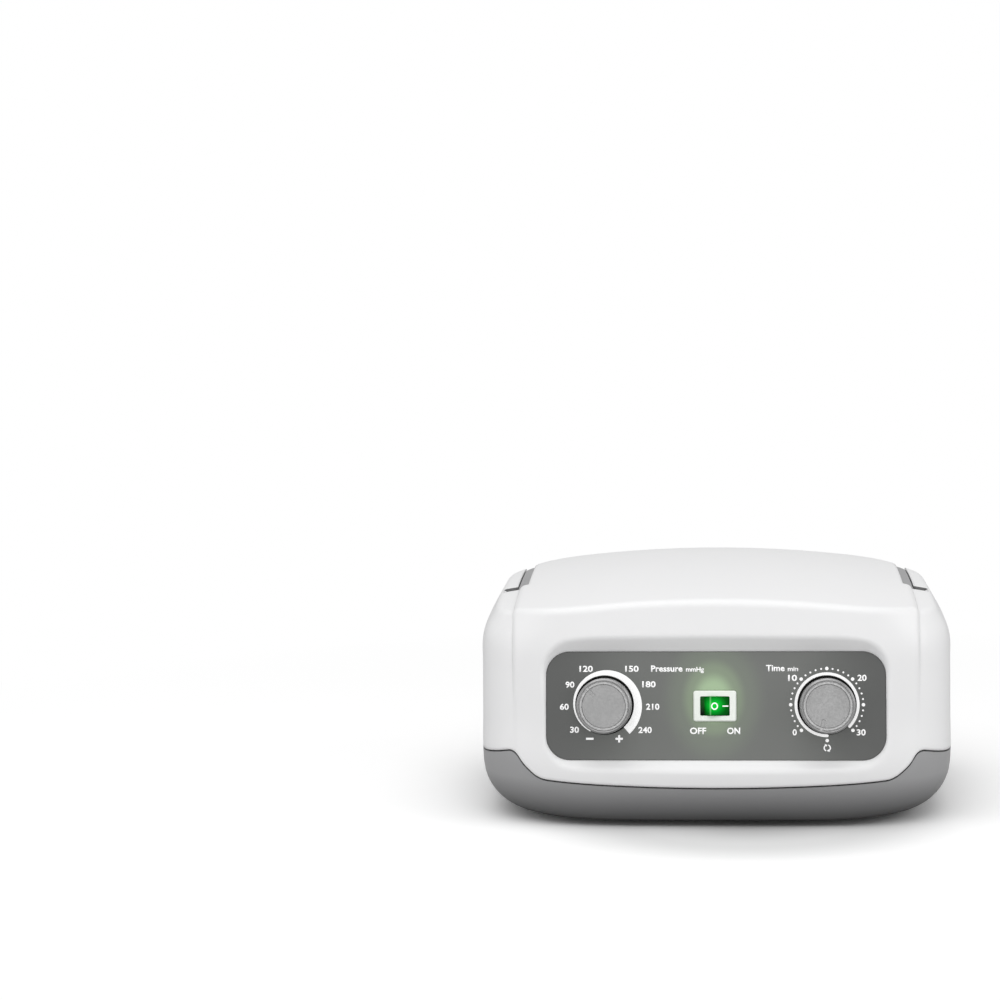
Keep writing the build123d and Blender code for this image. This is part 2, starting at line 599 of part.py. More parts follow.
def rocker():
    """Rocker with its ON side pressed in, turning about an axis across the panel."""
    side = Plane.XZ * make_face(Polyline(*ROCKER_OUTLINE))
    body = extrude(side, (ROCKER_H - 0.5) / 2, both=True)
    pin = Rot(90, 0, 0) * Cylinder(ROCKER_R, ROCKER_H + 1.6)
    return Pos(0, 0, ROCKER_AXIS) * (Rot(0, ROCKER_TILT, 0) * (body + pin))


def switch():
    bezel = plate(BEZEL_W, BEZEL_H, 1.2, 0, BEZEL_T)
    bezel = chamfer(bezel.edges().group_by(Axis.Z)[-1], 0.5)
    bezel -= plate(ROCKER_W, ROCKER_H, 0.6, -1.0, BEZEL_T + 1.0)
    PARTS["switch_bezel"] = at_switch(bezel)
    body = plate(SWITCH_BODY_W, SWITCH_BODY_H, SWITCH_BODY_R, -SWITCH_BODY_D, 0)
    body -= plate(SWITCH_BODY_W - 1.8, ROCKER_H, 0.5, -LAMP_BACK, OVER)
    seat = Rot(90, 0, 0) * Cylinder(ROCKER_R + 0.07, ROCKER_H + 1.8)
    body -= Pos(0, 0, ROCKER_AXIS) * seat
    PARTS["switch_body"] = at_switch(body)
    PARTS["power_rocker"] = at_switch(rocker())
    lamp = rod(LAMP_R, -LAMP_BACK, -LAMP_FRONT)
    PARTS["switch_lamp"] = at_switch(lamp + Pos(0, 0, -LAMP_FRONT) * Sphere(1.5))
    blade = Box(0.8, 4.8, 8.0)
    blades = [Pos(x, 0, -SWITCH_BODY_D - 4.0) * blade for x in (-6.5, 0.0, 6.5)]
    PARTS["switch_terminals"] = at_switch(Compound(blades))


def carry_handle():
    """U-shaped handle: arms flush with the roof, bar lying in the rear edge."""
    high = BIG / 2
    frame = handle_band(PIVOT_Y, PIVOT_Z - ARM_UNDER, high)
    frame += handle_band(BAR_Y - BAR_BEND, BAR_LOW, high)
    frame += block(-GRIP_HALF, GRIP_HALF, BAR_Y, BAR_Y + GRIP_T, BAR_LOW, high)
    for eye in mirrored(on_pivot(EYE_R, ARM_IN, ARM_IN + ARM_W)):
        frame += eye
    frame = frame & envelope(HANDLE_SINK)
    for hole in mirrored(on_pivot(PIVOT_PIN_R + 0.05, ARM_IN - 1.0, ARM_IN + ARM_W + 1.0)):
        frame -= hole
    return frame


def pivot_pins():
    """Pins pushed outwards through the bosses, their heads inside the housing."""
    face, tip = PIVOT_PIN_X
    pin = on_pivot(PIVOT_PIN_R, face - 0.01, tip)
    return Compound(mirrored(pin + on_pivot(PIVOT_HEAD_R, face - PIVOT_HEAD_T, face)))


def rubber_feet():
    pad = rod(FOOT_R, 0, FOOT_DROP)
    pad = fillet(pad.edges().group_by(Axis.Z)[0], 1.0)
    foot = pad + rod(STEM_R, FOOT_DROP - 0.01, FOOT_DROP + STEM_LEN)
    return Compound([Pos(x, y, 0) * foot for x, y in foot_places()])


def housing_screws():
    screw = pan_screw(SCREW_R, SCREW_HEAD_R, SCREW_TIP, SCREW_SEAT)
    return Compound([Pos(x, y, 0) * screw for x in (-BOSS_X, BOSS_X) for y in (-BOSS_Y, BOSS_Y)])


# ================================================================ rear connections
def hose_sockets():
    """Two sockets, each a collar round a row of four nipples."""
    floor = -SOCKET_D
    rim, wall = 2 * COLLAR_OVER, 2 * SOCKET_WALL
    cup = plate(SOCKET_W, SOCKET_H, SOCKET_R, floor - 1.0, 0)
    cup += plate(SOCKET_W + rim, SOCKET_H + rim, SOCKET_R + 1.0, 0, COLLAR_T)
    cup -= plate(SOCKET_W - wall, SOCKET_H - wall, SOCKET_R - 1.2, floor + 1.0, 3.0)
    nipples = [(i - 1.5) * NIPPLE_PITCH for i in range(4)]
    for offset in nipples:
        cup += Pos(offset, 0, floor + 0.9) * barb(SOCKET_D - 2.0)
        cup -= Pos(offset, 0, 0) * rod(BARB_BORE, floor - 2.0, 0)
    return Compound([rear_plane() * (Pos(-x, 0, 0) * cup) for x in SOCKETS])


def outlet_manifold():
    x0, x1, y0, y1 = MANIFOLD
    body = block(x0, x1, y0, y1 + 1.0, REAR_Z - 6.0, REAR_Z + 6.0)
    body = fillet(body.edges().filter_by(Axis.Y), 2.0)
    for x in INLETS:
        inlet = Pos(x, y0, REAR_Z) * (Rot(90, 0, 0) * barb())
        body += inlet
        body -= Pos(x, y0 + 4.0, REAR_Z) * (Rot(90, 0, 0) * rod(BARB_BORE, -1.0, 6.0))
    return body


def mains_inlet():
    middle, width, height, corner, depth = MAINS_CUP
    flange = plate(MAINS_W + 2 * MAINS_OVER, MAINS_H + 2 * MAINS_OVER, 2.0, 0, MAINS_T)
    body = flange + plate(MAINS_W, MAINS_H, MAINS_R, -MAINS_D, 0)
    body -= Pos(middle, 0, 0) * plate(width, height, corner, -depth, MAINS_T + OVER)
    body -= Pos(FUSE_X, 0, 0) * plate(FUSE_W + 0.4, FUSE_H + 0.4, 0.8, -FUSE_D, MAINS_T + OVER)
    pins = [Pos(middle + x, y, -12.0) * Box(2.0, 4.0, 14.0) for x, y in MAINS_PINS]
    body -= pins
    drawer = plate(FUSE_W, FUSE_H, 0.6, -FUSE_D, MAINS_T + 0.6)
    drawer -= Pos(0, 7.0, MAINS_T + 0.6) * Box(8.0, 1.6, 1.6)
    PARTS["power_inlet"] = rear_plane() * (Pos(-MAINS_X, 0, 0) * body)
    PARTS["inlet_pins"] = rear_plane() * (Pos(-MAINS_X, 0, 0) * Compound(pins))
    PARTS["fuse_drawer"] = rear_plane() * (Pos(-MAINS_X + FUSE_X, 0, 0) * drawer)


# ================================================================ compressor
def at_compressor(shape):
    return Pos(COMP_X, COMP_Y, COMP_Z) * shape


def both_ends(shape):
    """The part on the compressor's right end and its mirror image on the left."""
    return Compound([at_compressor(shape), at_compressor(mirror(shape, Plane.YZ))])


def both_sides(shape):
    """The part behind the armature and its mirror image in front of it."""
    return Compound([at_compressor(shape), at_compressor(mirror(shape, Plane.XZ))])


def compressor_frame():
    """Sheet channel: base with four mounting ears, two end plates, two core blocks."""
    low = FRAME_BASE - COMP_Z
    base = block(-FRAME_HALF, FRAME_HALF, -31.0, 31.0, low, low + FRAME_T)
    for x in (-MOUNT_X, MOUNT_X):
        base += block(x - 7.5, x + 7.5, -MOUNT_Y - 7.5, MOUNT_Y + 7.5, low, low + FRAME_T)
    top = HEAD_SIZE / 2 - 1.0
    end = block(FRAME_HALF - FRAME_T, FRAME_HALF, -26.0, 26.0, low, top)
    end -= along_x(rod(CHAMBER_R + 2.0, 0, FRAME_HALF + 1.0))
    frame = base + end + mirror(end, Plane.YZ)
    back = CARRIER_Y / 2 + MAGNET_T + AIR_GAP + CORE_LEG
    for side in (-1, 1):
        y0, y1 = sorted((side * (back + 0.5), side * (back + CORE_BACK - 0.5)))
        frame += block(-12.0, 12.0, y0, y1, low + FRAME_T, -CARRIER_Z / 2)
    for x in (-MOUNT_X, MOUNT_X):
        for y in (-MOUNT_Y, MOUNT_Y):
            frame -= Pos(x, y, low) * rod(4.1, -1.0, FRAME_T + 1.0)
    return at_compressor(frame)


def mount_places():
    return [(COMP_X + x, COMP_Y + y) for x in (-MOUNT_X, MOUNT_X) for y in (-MOUNT_Y, MOUNT_Y)]


def grommets():
    low, high = FRAME_BASE - 0.1, FRAME_BASE + FRAME_T + 0.1
    outline = Polyline((2.1, GROMMET_LOW), (GROMMET_R, GROMMET_LOW), (GROMMET_R, low), (4.0, low),
                       (4.0, high), (GROMMET_R, high), (GROMMET_R, GROMMET_TOP),
                       (2.1, GROMMET_TOP), (2.1, GROMMET_LOW))
    shape = revolve(Plane.XZ * make_face(outline), Axis.Z)
    return Compound([Pos(x, y, 0) * shape for x, y in mount_places()])


def grommet_screws():
    screw = mirror(pan_screw(SCREW_R, 4.0, GROMMET_TOP - FOOT_DROP - 2.0, 0), Plane.XY)
    return Compound([Pos(x, y, GROMMET_TOP) * screw for x, y in mount_places()])


def core():
    """E-shaped lamination stack behind the armature, its three legs towards it."""
    start = CARRIER_Y / 2 + MAGNET_T + AIR_GAP
    back = start + CORE_LEG
    half = CARRIER_Z / 2
    body = block(-21.0, 21.0, back, back + CORE_BACK, -half, half)
    for x0, x1 in ((-21.0, -15.0), (-4.5, 4.5), (15.0, 21.0)):
        body += block(x0, x1, start, back + 1.0, -half, half)
    return body


def coil():
    start = CARRIER_Y / 2 + MAGNET_T + AIR_GAP
    turn = Plane.XZ * RectangleRounded(2 * COIL_HALF_X, 2 * COIL_HALF_Z, 4.0)
    winding = Pos(0, start + CORE_LEG - 1.0, 0) * extrude(turn, CORE_LEG - 2.0)
    return winding - block(-5.0, 5.0, start - 5, start + 20, -CARRIER_Z / 2 - 0.5,
                           CARRIER_Z / 2 + 0.5)


def pump_head():
    """Chamber body on the right end plate, with the diaphragm's seat and valve ports."""
    x0 = FRAME_HALF
    body = along_x(extrude(Plane.XY.offset(x0) * RectangleRounded(HEAD_SIZE, HEAD_SIZE, 5.0),
                           HEAD_T))
    seat = DIAPHRAGM_T + 2 * STROKE + 2 * 0.1
    body -= along_x(rod(DIAPHRAGM_R + DIAPHRAGM_PLAY, x0 - 1.0, x0 + seat))
    body -= along_x(rod(CHAMBER_R, x0, x0 + seat + CHAMBER_T))
    for y in (-10.0, 10.0):
        for z in (-4.0, 4.0):
            body -= Pos(0, y, z) * along_x(rod(PORT_R, x0, x0 + HEAD_T + OVER))
    return body


def head_cover():
    x0 = FRAME_HALF + HEAD_T
    body = along_x(extrude(Plane.XY.offset(x0) * RectangleRounded(HEAD_SIZE, HEAD_SIZE, 5.0),
                           COVER_T))
    for y in (-11.5, 11.5):
        body -= block(x0 - 1.0, x0 + COVER_T - 2.5, y - 9.5, y + 9.5, -12.0, 12.0)
    middle = x0 + COVER_T / 2
    body += Pos(middle, 0, HEAD_SIZE / 2) * barb()
    body -= Pos(middle, 0, 0) * rod(BARB_BORE, 10.0, HEAD_SIZE / 2 + 1.0)
    return body


def valve_flaps():
    """Rubber discs over the ports, inside the covers."""
    x0 = FRAME_HALF + HEAD_T
    flap = along_x(rod(FLAP_R, x0, x0 + FLAP_T))
    flaps = [Pos(0, y, 0) * flap for y in (-VALVE_Y, VALVE_Y)]
    flaps += [mirror(flap, Plane.YZ) for flap in flaps]
    return Compound([at_compressor(flap) for flap in flaps])


def head_bolts():
    x0 = FRAME_HALF
    outer = x0 + HEAD_T + COVER_T
    bolt = rod(BOLT_R, x0 + 0.1, outer) + rod(BOLT_HEAD_R, outer, outer + BOLT_HEAD_T)
    bolts = [Pos(0, y, z) * along_x(bolt) for y, z in BOLTS]
    bolts += [mirror(b, Plane.YZ) for b in bolts]
    return Compound([at_compressor(b) for b in bolts])


def bolt_holes():
    hole = along_x(rod(BOLT_R + 0.05, FRAME_HALF, FRAME_HALF + HEAD_T + COVER_T + OVER))
    return [Pos(0, y, z) * hole for y, z in BOLTS]


def armature():
    """Rod with the magnet carrier; diaphragms clamped on its ends between two discs."""
    middle = FRAME_HALF + 0.1 + STROKE + DIAPHRAGM_T / 2
    inner, outer = middle - DIAPHRAGM_T / 2, middle + DIAPHRAGM_T / 2
    shaft = along_x(rod(ROD_R, -(outer + DISC_T + NUT_T), outer + DISC_T + NUT_T))
    shaft += Box(CARRIER_X, CARRIER_Y, CARRIER_Z)
    PARTS["armature_rod"] = at_compressor(shaft)
    y = CARRIER_Y / 2
    magnet = block(-16.0, 16.0, y, y + MAGNET_T, -10.0, 10.0)
    PARTS["armature_magnets"] = both_sides(magnet)
    washer = rod(DISC_R, 0, DISC_T) - rod(ROD_R + 0.02, -1, DISC_T + 1)
    discs = [along_x(Pos(0, 0, x) * washer) for x in (inner - DISC_T, outer)]
    discs += [mirror(d, Plane.YZ) for d in discs]
    PARTS["clamp_discs"] = Compound([at_compressor(d) for d in discs])
    membrane = rod(DIAPHRAGM_R, inner, outer) - rod(ROD_R + 0.02, inner - 1, outer + 1)
    PARTS["diaphragms"] = both_ends(along_x(membrane))
    nut = Pos(0, 0, outer + DISC_T) * hex_nut(2 * NUT_R - 1.0, NUT_T, ROD_R + 0.02)
    PARTS["rod_nuts"] = both_ends(along_x(nut))


def compressor():
    PARTS["compressor_frame"] = compressor_frame()
    PARTS["grommets"] = grommets()
    PARTS["grommet_screws"] = grommet_screws()
    PARTS["magnet_cores"] = both_sides(core())
    PARTS["magnet_coils"] = both_sides(coil())
    PARTS["pump_heads"] = both_ends(pump_head() - bolt_holes())
    PARTS["head_covers"] = both_ends(head_cover() - bolt_holes())
    PARTS["valve_flaps"] = valve_flaps()
    PARTS["head_bolts"] = head_bolts()
    armature()


# ================================================================ air reservoir
def tank_barbs():
    """Barbs of the reservoir: one on each end, two towards the front."""
    ends = [along_x(Pos(0, 0, TANK_HALF) * barb())]
    ends.append(mirror(ends[0], Plane.YZ))
    front = Rot(90, 0, 0) * (Pos(0, 0, TANK_R - 0.3) * barb())
    return ends + [Pos(x, 0, 0) * front for x in TANK_OUTLETS]


def reservoir():
    tank = along_x(rod(TANK_R, -TANK_HALF, TANK_HALF))
    tank = fillet(tank.edges().filter_by(GeomType.CIRCLE), 3.0)
    tank -= along_x(rod(TANK_R - 2.0, -TANK_HALF + 2.0, TANK_HALF - 2.0))
    for piece in tank_barbs():
        tank += piece
    for x in (-1, 1):
        tank -= along_x(Pos(0, 0, x * (TANK_HALF - 1.0)) * rod(BARB_BORE, -2.0, 2.0))
    PARTS["air_reservoir"] = at_compressor(Pos(0, 0, TANK_RISE) * tank)
    low = HEAD_SIZE / 2 - 1.0
    saddle = block(-FRAME_HALF, FRAME_HALF, -11.0, 11.0, low, low + 2.0)
    for x in (-16.0, 16.0):
        saddle += block(x - 4.0, x + 4.0, -11.0, 11.0, low, TANK_RISE - 4.0)
    saddle -= Pos(0, 0, TANK_RISE) * along_x(rod(TANK_R + 0.1, -40.0, 40.0))
    PARTS["reservoir_saddle"] = at_compressor(saddle)


# ================================================================ air distributor
def at_distributor(z, shape):
    return Pos(DIST_X, DIST_Y, z) * shape


def distributor():
    """Gear motor, chest with the turning disc, and the ported valve body on top."""
    motor_top = DIST_FOOT + MOTOR_H
    chest_top = motor_top + CHEST_H
    motor = rod(MOTOR_R, 0, MOTOR_H)
    motor = fillet(motor.edges().group_by(Axis.Z)[0], 1.5) - rod(2.56, MOTOR_H - 9.0, MOTOR_H + 1)
    PARTS["distributor_motor"] = at_distributor(DIST_FOOT, motor)
    chest = rod(DIST_R, 0, CHEST_H) - rod(DIST_R - CHEST_WALL, 2.0, CHEST_H + 1)
    chest -= rod(3.2, -1.0, 3.0)
    PARTS["distributor_chest"] = at_distributor(motor_top, chest)
    disc = rod(ROTOR_R, CHEST_H - ROTOR_GAP - ROTOR_T, CHEST_H - ROTOR_GAP)
    disc -= Pos(12.0, 0, 0) * plate(9.0, 5.0, 2.4, 0, CHEST_H)
    disc += rod(5.5, CHEST_H - ROTOR_GAP - ROTOR_T - 2.5, CHEST_H - ROTOR_GAP - 1.0)
    disc += rod(2.5, -8.0, CHEST_H - ROTOR_T)
    PARTS["distributor_rotor"] = at_distributor(motor_top, disc)
    valve = rod(DIST_R, 0, VALVE_H)
    valve = chamfer(valve.edges().group_by(Axis.Z)[-1], 1.0)
    port = REAR_Z - chest_top
    for bearing in PORTS:
        out = Rot(0, 0, bearing) * (Pos(0, 0, port) * along_x(Pos(0, 0, DIST_R - 0.1) * barb()))
        bore = Rot(0, 0, bearing) * (Pos(0, 0, port) * along_x(rod(BARB_BORE, 11.0, DIST_R + 1)))
        drop = Rot(0, 0, bearing) * (Pos(12.0, 0, 0) * rod(1.5, -1.0, port))
        valve = valve + out - bore - drop
    valve += Pos(0, 0, VALVE_H - 0.01) * barb()
    PARTS["distributor_valve"] = at_distributor(chest_top, valve)
    screws = [at_distributor(0, Rot(0, 0, a) * (Pos(DIST_R - 2.6, 0, 0) * rod(
        1.25, motor_top + 2.2, chest_top + VALVE_H - 1.2))) for a in (20, 160, 270)]
    PARTS["distributor_screws"] = Compound(screws)
    for name in ("distributor_chest", "distributor_valve"):
        for screw in screws:
            PARTS[name] = PARTS[name] - screw


# ================================================================ tubes
def chamber_tubes():
    """Four tubes from the distributor's outlets to the manifold."""
    tubes = []
    for bearing, x in zip(PORTS, INLETS):
        c, s = cos(radians(bearing)), sin(radians(bearing))
        near, far = DIST_R + 1.0, DIST_R + BARB_LEN + 3.0
        start = (DIST_X + near * c, DIST_Y + near * s, REAR_Z)
        lead = (DIST_X + far * c, DIST_Y + far * s, REAR_Z)
        end_y = MANIFOLD[2] - 1.0
        tubes.append(hose(start, lead, (x, end_y - BARB_LEN - 2.0, REAR_Z), (x, end_y, REAR_Z)))
    return Compound(tubes)


def supply_tubes():
    """Covers to reservoir, reservoir to pressure regulator, reservoir to distributor."""
    axis_z = COMP_Z + TANK_RISE
    cover_x = FRAME_HALF + HEAD_T + COVER_T / 2
    top = COMP_Z + HEAD_SIZE / 2 + 1.0
    tubes = []
    for side in (-1, 1):
        tubes.append(hose((COMP_X + side * cover_x, COMP_Y, top),
                          (COMP_X + side * cover_x, COMP_Y, axis_z),
                          (COMP_X + side * (TANK_HALF + 1.0), COMP_Y, axis_z)))
    front = COMP_Y - TANK_R - 0.7
    lean = radians(PANEL_LEAN)
    rise, depth = KNOB_V + REGULATOR_R + 1.0, REGULATOR_OUTLET
    foot = (-KNOB_U, PANEL_Y + depth * cos(lean) + rise * sin(lean),
            PANEL_Z - depth * sin(lean) + rise * cos(lean))
    over = (-KNOB_U, foot[1] + 16.0 * sin(lean), foot[2] + 16.0 * cos(lean))
    outlet = COMP_X + TANK_OUTLETS[0]
    tubes.append(hose((outlet, front, axis_z), (outlet, front - 16.0, axis_z), over, foot))
    outlet = COMP_X + TANK_OUTLETS[1]
    inlet = DIST_FOOT + MOTOR_H + CHEST_H + VALVE_H + 1.0
    tubes.append(hose((outlet, front, axis_z), (outlet, front - 16.0, axis_z),
                      (10.0, -26.0, axis_z + 2.0), (DIST_X - 16.0, -16.0, axis_z),
                      (DIST_X, DIST_Y, axis_z - 4.0), (DIST_X, DIST_Y, inlet)))
    return Compound(tubes)


# ================================================================ control board
def control_board():
    x0, x1, y0, y1 = BOARD
    board = block(x0, x1, y0, y1, BOARD_Z, BOARD_Z + BOARD_T)
    for x, y in board_corners():
        board -= Pos(x, y, 0) * rod(BOARD_SCREW_R + 0.1, BOARD_Z - 1, BOARD_Z + 5)
    PARTS["control_board"] = board
    top = BOARD_Z + BOARD_T
    transformer = block(x0 + 10.0, x0 + 34.0, y0 + 8.0, y0 + 30.0, top, top + 18.0)
    PARTS["transformer"] = fillet(transformer.edges().filter_by(Axis.Z), 1.5)
    pieces = [Pos(x1 - 9.0, y0 + 14.0, 0) * rod(5.0, top, top + 14.0)]
    pieces.append(Pos(x1 - 9.0, y0 + 25.0, 0) * rod(4.0, top, top + 11.0))
    pieces.append(block(x0 + 36.5, x0 + 40.5, y0 + 8.0, y0 + 28.0, top, top + 9.0))
    PARTS["board_components"] = Compound(pieces)
    screw = mirror(pan_screw(BOARD_SCREW_R, 2.8, 7.0, 0, 1.8), Plane.XY)
    PARTS["board_screws"] = Compound([Pos(x, y, top) * screw for x, y in board_corners()])


# ================================================================ assembly
PARTS = {}


def build():
    PARTS["upper_housing"] = upper_housing()
    PARTS["lower_housing"] = lower_housing()
    PARTS["control_panel"] = control_panel()
    PARTS["rear_panel"] = rear_panel()
    controls()
    switch()
    PARTS["carry_handle"] = carry_handle()
    PARTS["handle_pins"] = pivot_pins()
    PARTS["rubber_feet"] = rubber_feet()
    PARTS["housing_screws"] = housing_screws()
    PARTS["hose_sockets"] = hose_sockets()
    PARTS["outlet_manifold"] = outlet_manifold()
    mains_inlet()
    compressor()
    reservoir()
    distributor()
    PARTS["chamber_tubes"] = chamber_tubes()
    PARTS["supply_tubes"] = supply_tubes()
    control_board()


build()
os.makedirs("parts", exist_ok=True)
for name, part in PARTS.items():
    shape = Pos(0, KNOBS_PROUD, 0) * part
    shape.label = name
    export_step(shape, "parts/" + name + ".step")
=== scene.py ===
import json
import math

import bmesh
import bpy
from mathutils import Matrix, Vector


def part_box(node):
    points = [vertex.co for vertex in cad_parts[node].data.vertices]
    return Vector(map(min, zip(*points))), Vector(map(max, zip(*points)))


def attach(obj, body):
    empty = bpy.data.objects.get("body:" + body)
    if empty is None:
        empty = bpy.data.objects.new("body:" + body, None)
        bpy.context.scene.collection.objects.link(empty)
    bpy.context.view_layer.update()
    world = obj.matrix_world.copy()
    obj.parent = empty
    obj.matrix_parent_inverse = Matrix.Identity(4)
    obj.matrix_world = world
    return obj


bl_info = {
    "name": "Compression pump finish",
    "version": (1, 0, 0),
    "blender": (4, 5, 0),
    "location": "View3D > Sidebar > Pump",
    "description": "Finishes, dial markings and studio for the compression pump",
    "category": "Object",
}

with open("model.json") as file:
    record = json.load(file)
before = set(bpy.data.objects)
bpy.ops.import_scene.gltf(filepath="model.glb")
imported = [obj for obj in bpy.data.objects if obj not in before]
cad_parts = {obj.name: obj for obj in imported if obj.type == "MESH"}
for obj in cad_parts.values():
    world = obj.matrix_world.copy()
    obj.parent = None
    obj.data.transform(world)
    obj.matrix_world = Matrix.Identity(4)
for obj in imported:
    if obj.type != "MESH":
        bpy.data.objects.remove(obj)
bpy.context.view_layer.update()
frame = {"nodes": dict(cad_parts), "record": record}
NODES = frame["nodes"]

# Working frame of the control panel: u to the right, v up the slope, n out of the face.
LEAN = math.radians(8.5)
U_DIR = Vector((1, 0, 0))
V_DIR = Vector((0, math.sin(LEAN), math.cos(LEAN)))
N_DIR = Vector((0, -math.cos(LEAN), math.sin(LEAN)))
PANEL_TURN = Matrix((U_DIR, V_DIR, N_DIR)).transposed().to_4x4()


PANEL_THICK = 0.0025


def panel_origin():
    """Middle of the panel's outer face, from the box of the panel node."""
    low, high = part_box("control_panel")
    return (low + high) / 2 + N_DIR * PANEL_THICK / 2


PANEL = panel_origin()
KNOB_OFFSET = 0.0544         # of either knob from the panel's middle
DIAL_HEIGHT = 0.0006         # of the printed scales' centres

# Rocker: place of its axis, its tilt at rest and the slope of either half of its hollow top.
ROCKER_U, ROCKER_DEEP = -0.0003, -0.005
ROCKER_TILT = math.radians(16.0)
ROCKER_HOLLOW = math.atan2(0.5, 4.7)
ROCKER_FACE = 0.0077         # from the axis to the face that is printed

# Black ring of painted shade under each knob: radii of the disc and of its hole, height on the
# panel and depth.
SHADE_RING_OUTER, SHADE_RING_INNER = 0.01432, 0.0072
SHADE_RING_HEIGHT, SHADE_RING_DEEP = 0.0003, -0.0021

# Camera that matches the photograph, turned from level and straight ahead.
CAMERA_LENS = 109.6
CAMERA_PAN, CAMERA_TILT, CAMERA_ROLL = (math.radians(a) for a in (4.058, 6.604, -0.741))

# Rear wall of the notch beside an arm's front end, where a shadow is painted: its middle, with y
# counted from -1 m so that only the front one counts, and its half sizes.
NOTCH_PLACE = (0.10482, 1.0 - 0.00413, 0.1051)
NOTCH_HALF = (0.0037, 0.0003, 0.0029)

# What is left of a colour under the painted shade in the notches, in narrow gaps and on an
# outlined edge.
NOTCH_SHADOW, GAP_SHADE, EDGE_SHADE = 0.16, 0.02, 0.02

# Studio floor: its half size, how light it is to the light that it throws back and to the
# camera, and the distances over which it fades into the surroundings.
FLOOR_HALF = 12.0
FLOOR_BOUNCE, FLOOR_SEEN = 0.56, 1.10
FADE_START, FADE_END = 0.18, 0.55

# Soft lights: name, place, point aimed at, size, setting for the power and share of it.
LIGHTS = (
    ("key_light", (-0.15, -0.42, 1.33), (0, 0, 0.05), (1.7, 1.5), "key", 1.0),
    ("fill_left", (-1.5, -0.6, 0.6), (0, 0, 0.06), (0.9, 1.1), "key", 0.28),
    ("fill_right", (1.5, -0.5, 0.7), (0, 0, 0.06), (0.9, 1.1), "key", 0.54),
    ("fill_front", (0.1, -2.2, 0.24), (0, 0, 0.06), (2.2, 0.5), "front", 1.0),
)


def on_panel(u, v, n=0.0):
    """Point on the panel; u and v in metres from its middle."""
    return PANEL + U_DIR * u + V_DIR * v + N_DIR * n


def panel_matrix(u, v, n=0.0):
    """Matrix that lays a drawing in the XY plane onto the panel."""
    return Matrix.Translation(on_panel(u, v, n)) @ PANEL_TURN


# ---------------------------------------------------------------- settings a user would change
class PumpColours(bpy.types.PropertyGroup):
    shell: bpy.props.FloatVectorProperty(
        name="Shell", description="White of the upper housing", subtype="COLOR",
        size=3, min=0, max=1, default=(0.90, 0.90, 0.905))
    base: bpy.props.FloatVectorProperty(
        name="Base", description="Grey of the lower housing", subtype="COLOR",
        size=3, min=0, max=1, default=(0.35, 0.35, 0.355))
    fascia: bpy.props.FloatVectorProperty(
        name="Fascia", description="Grey of the control panel", subtype="COLOR",
        size=3, min=0, max=1, default=(0.112, 0.115, 0.112))
    handle: bpy.props.FloatVectorProperty(
        name="Handle", description="Grey of the carry handle", subtype="COLOR",
        size=3, min=0, max=1, default=(0.33, 0.33, 0.335))
    dial: bpy.props.FloatVectorProperty(
        name="Dial", description="Silver of the knobs", subtype="COLOR",
        size=3, min=0, max=1, default=(0.40, 0.40, 0.40))
    marking: bpy.props.FloatVectorProperty(
        name="Marking", description="White of the printed scales", subtype="COLOR",
        size=3, min=0, max=1, default=(0.92, 0.92, 0.92))
    lens: bpy.props.FloatVectorProperty(
        name="Lens", description="Green of the lit rocker", subtype="COLOR",
        size=3, min=0, max=1, default=(0.002, 0.05, 0.008))


class PumpSizes(bpy.types.PropertyGroup):
    digit: bpy.props.FloatProperty(
        name="Digit height", description="Height of the scale's figures", unit="LENGTH",
        min=0.001, max=0.01, default=0.0031)
    caption: bpy.props.FloatProperty(
        name="Caption height", description="Height of the captions' capitals", unit="LENGTH",
        min=0.001, max=0.01, default=0.0030)
    ink: bpy.props.FloatProperty(
        name="Ink thickness", description="How far the print stands off the panel",
        unit="LENGTH", min=0.00001, max=0.0005, default=0.00006)
    hole: bpy.props.FloatProperty(
        name="Scale radius", description="Inner radius of the printed scales", unit="LENGTH",
        min=0.01, max=0.03, default=0.01445)
    ring: bpy.props.FloatProperty(
        name="Ring width", description="Width of the time scale's ring", unit="LENGTH",
        min=0.0005, max=0.004, default=0.0014)
    dots: bpy.props.FloatProperty(
        name="Dot circle", description="Radius on which the minute dots lie", unit="LENGTH",
        min=0.01, max=0.03, default=0.0177)


class PumpStage(bpy.types.PropertyGroup):
    distance: bpy.props.FloatProperty(
        name="Camera distance", description="From the lens to the panel", unit="LENGTH",
        min=0.3, max=5, default=1.5)
    height: bpy.props.FloatProperty(
        name="Camera elevation", description="How far the camera looks down",
        subtype="ANGLE", min=0, max=1.5, default=math.radians(10.5))
    key: bpy.props.FloatProperty(
        name="Key light", description="Power of the large soft light overhead",
        min=0, max=200, default=8.5)
    front: bpy.props.FloatProperty(
        name="Front light", description="Power of the low light before the pump",
        min=0, max=200, default=6.2)
    world: bpy.props.FloatProperty(
        name="Surround light", description="Strength of the pale surroundings",
        min=0, max=3, default=0.60)


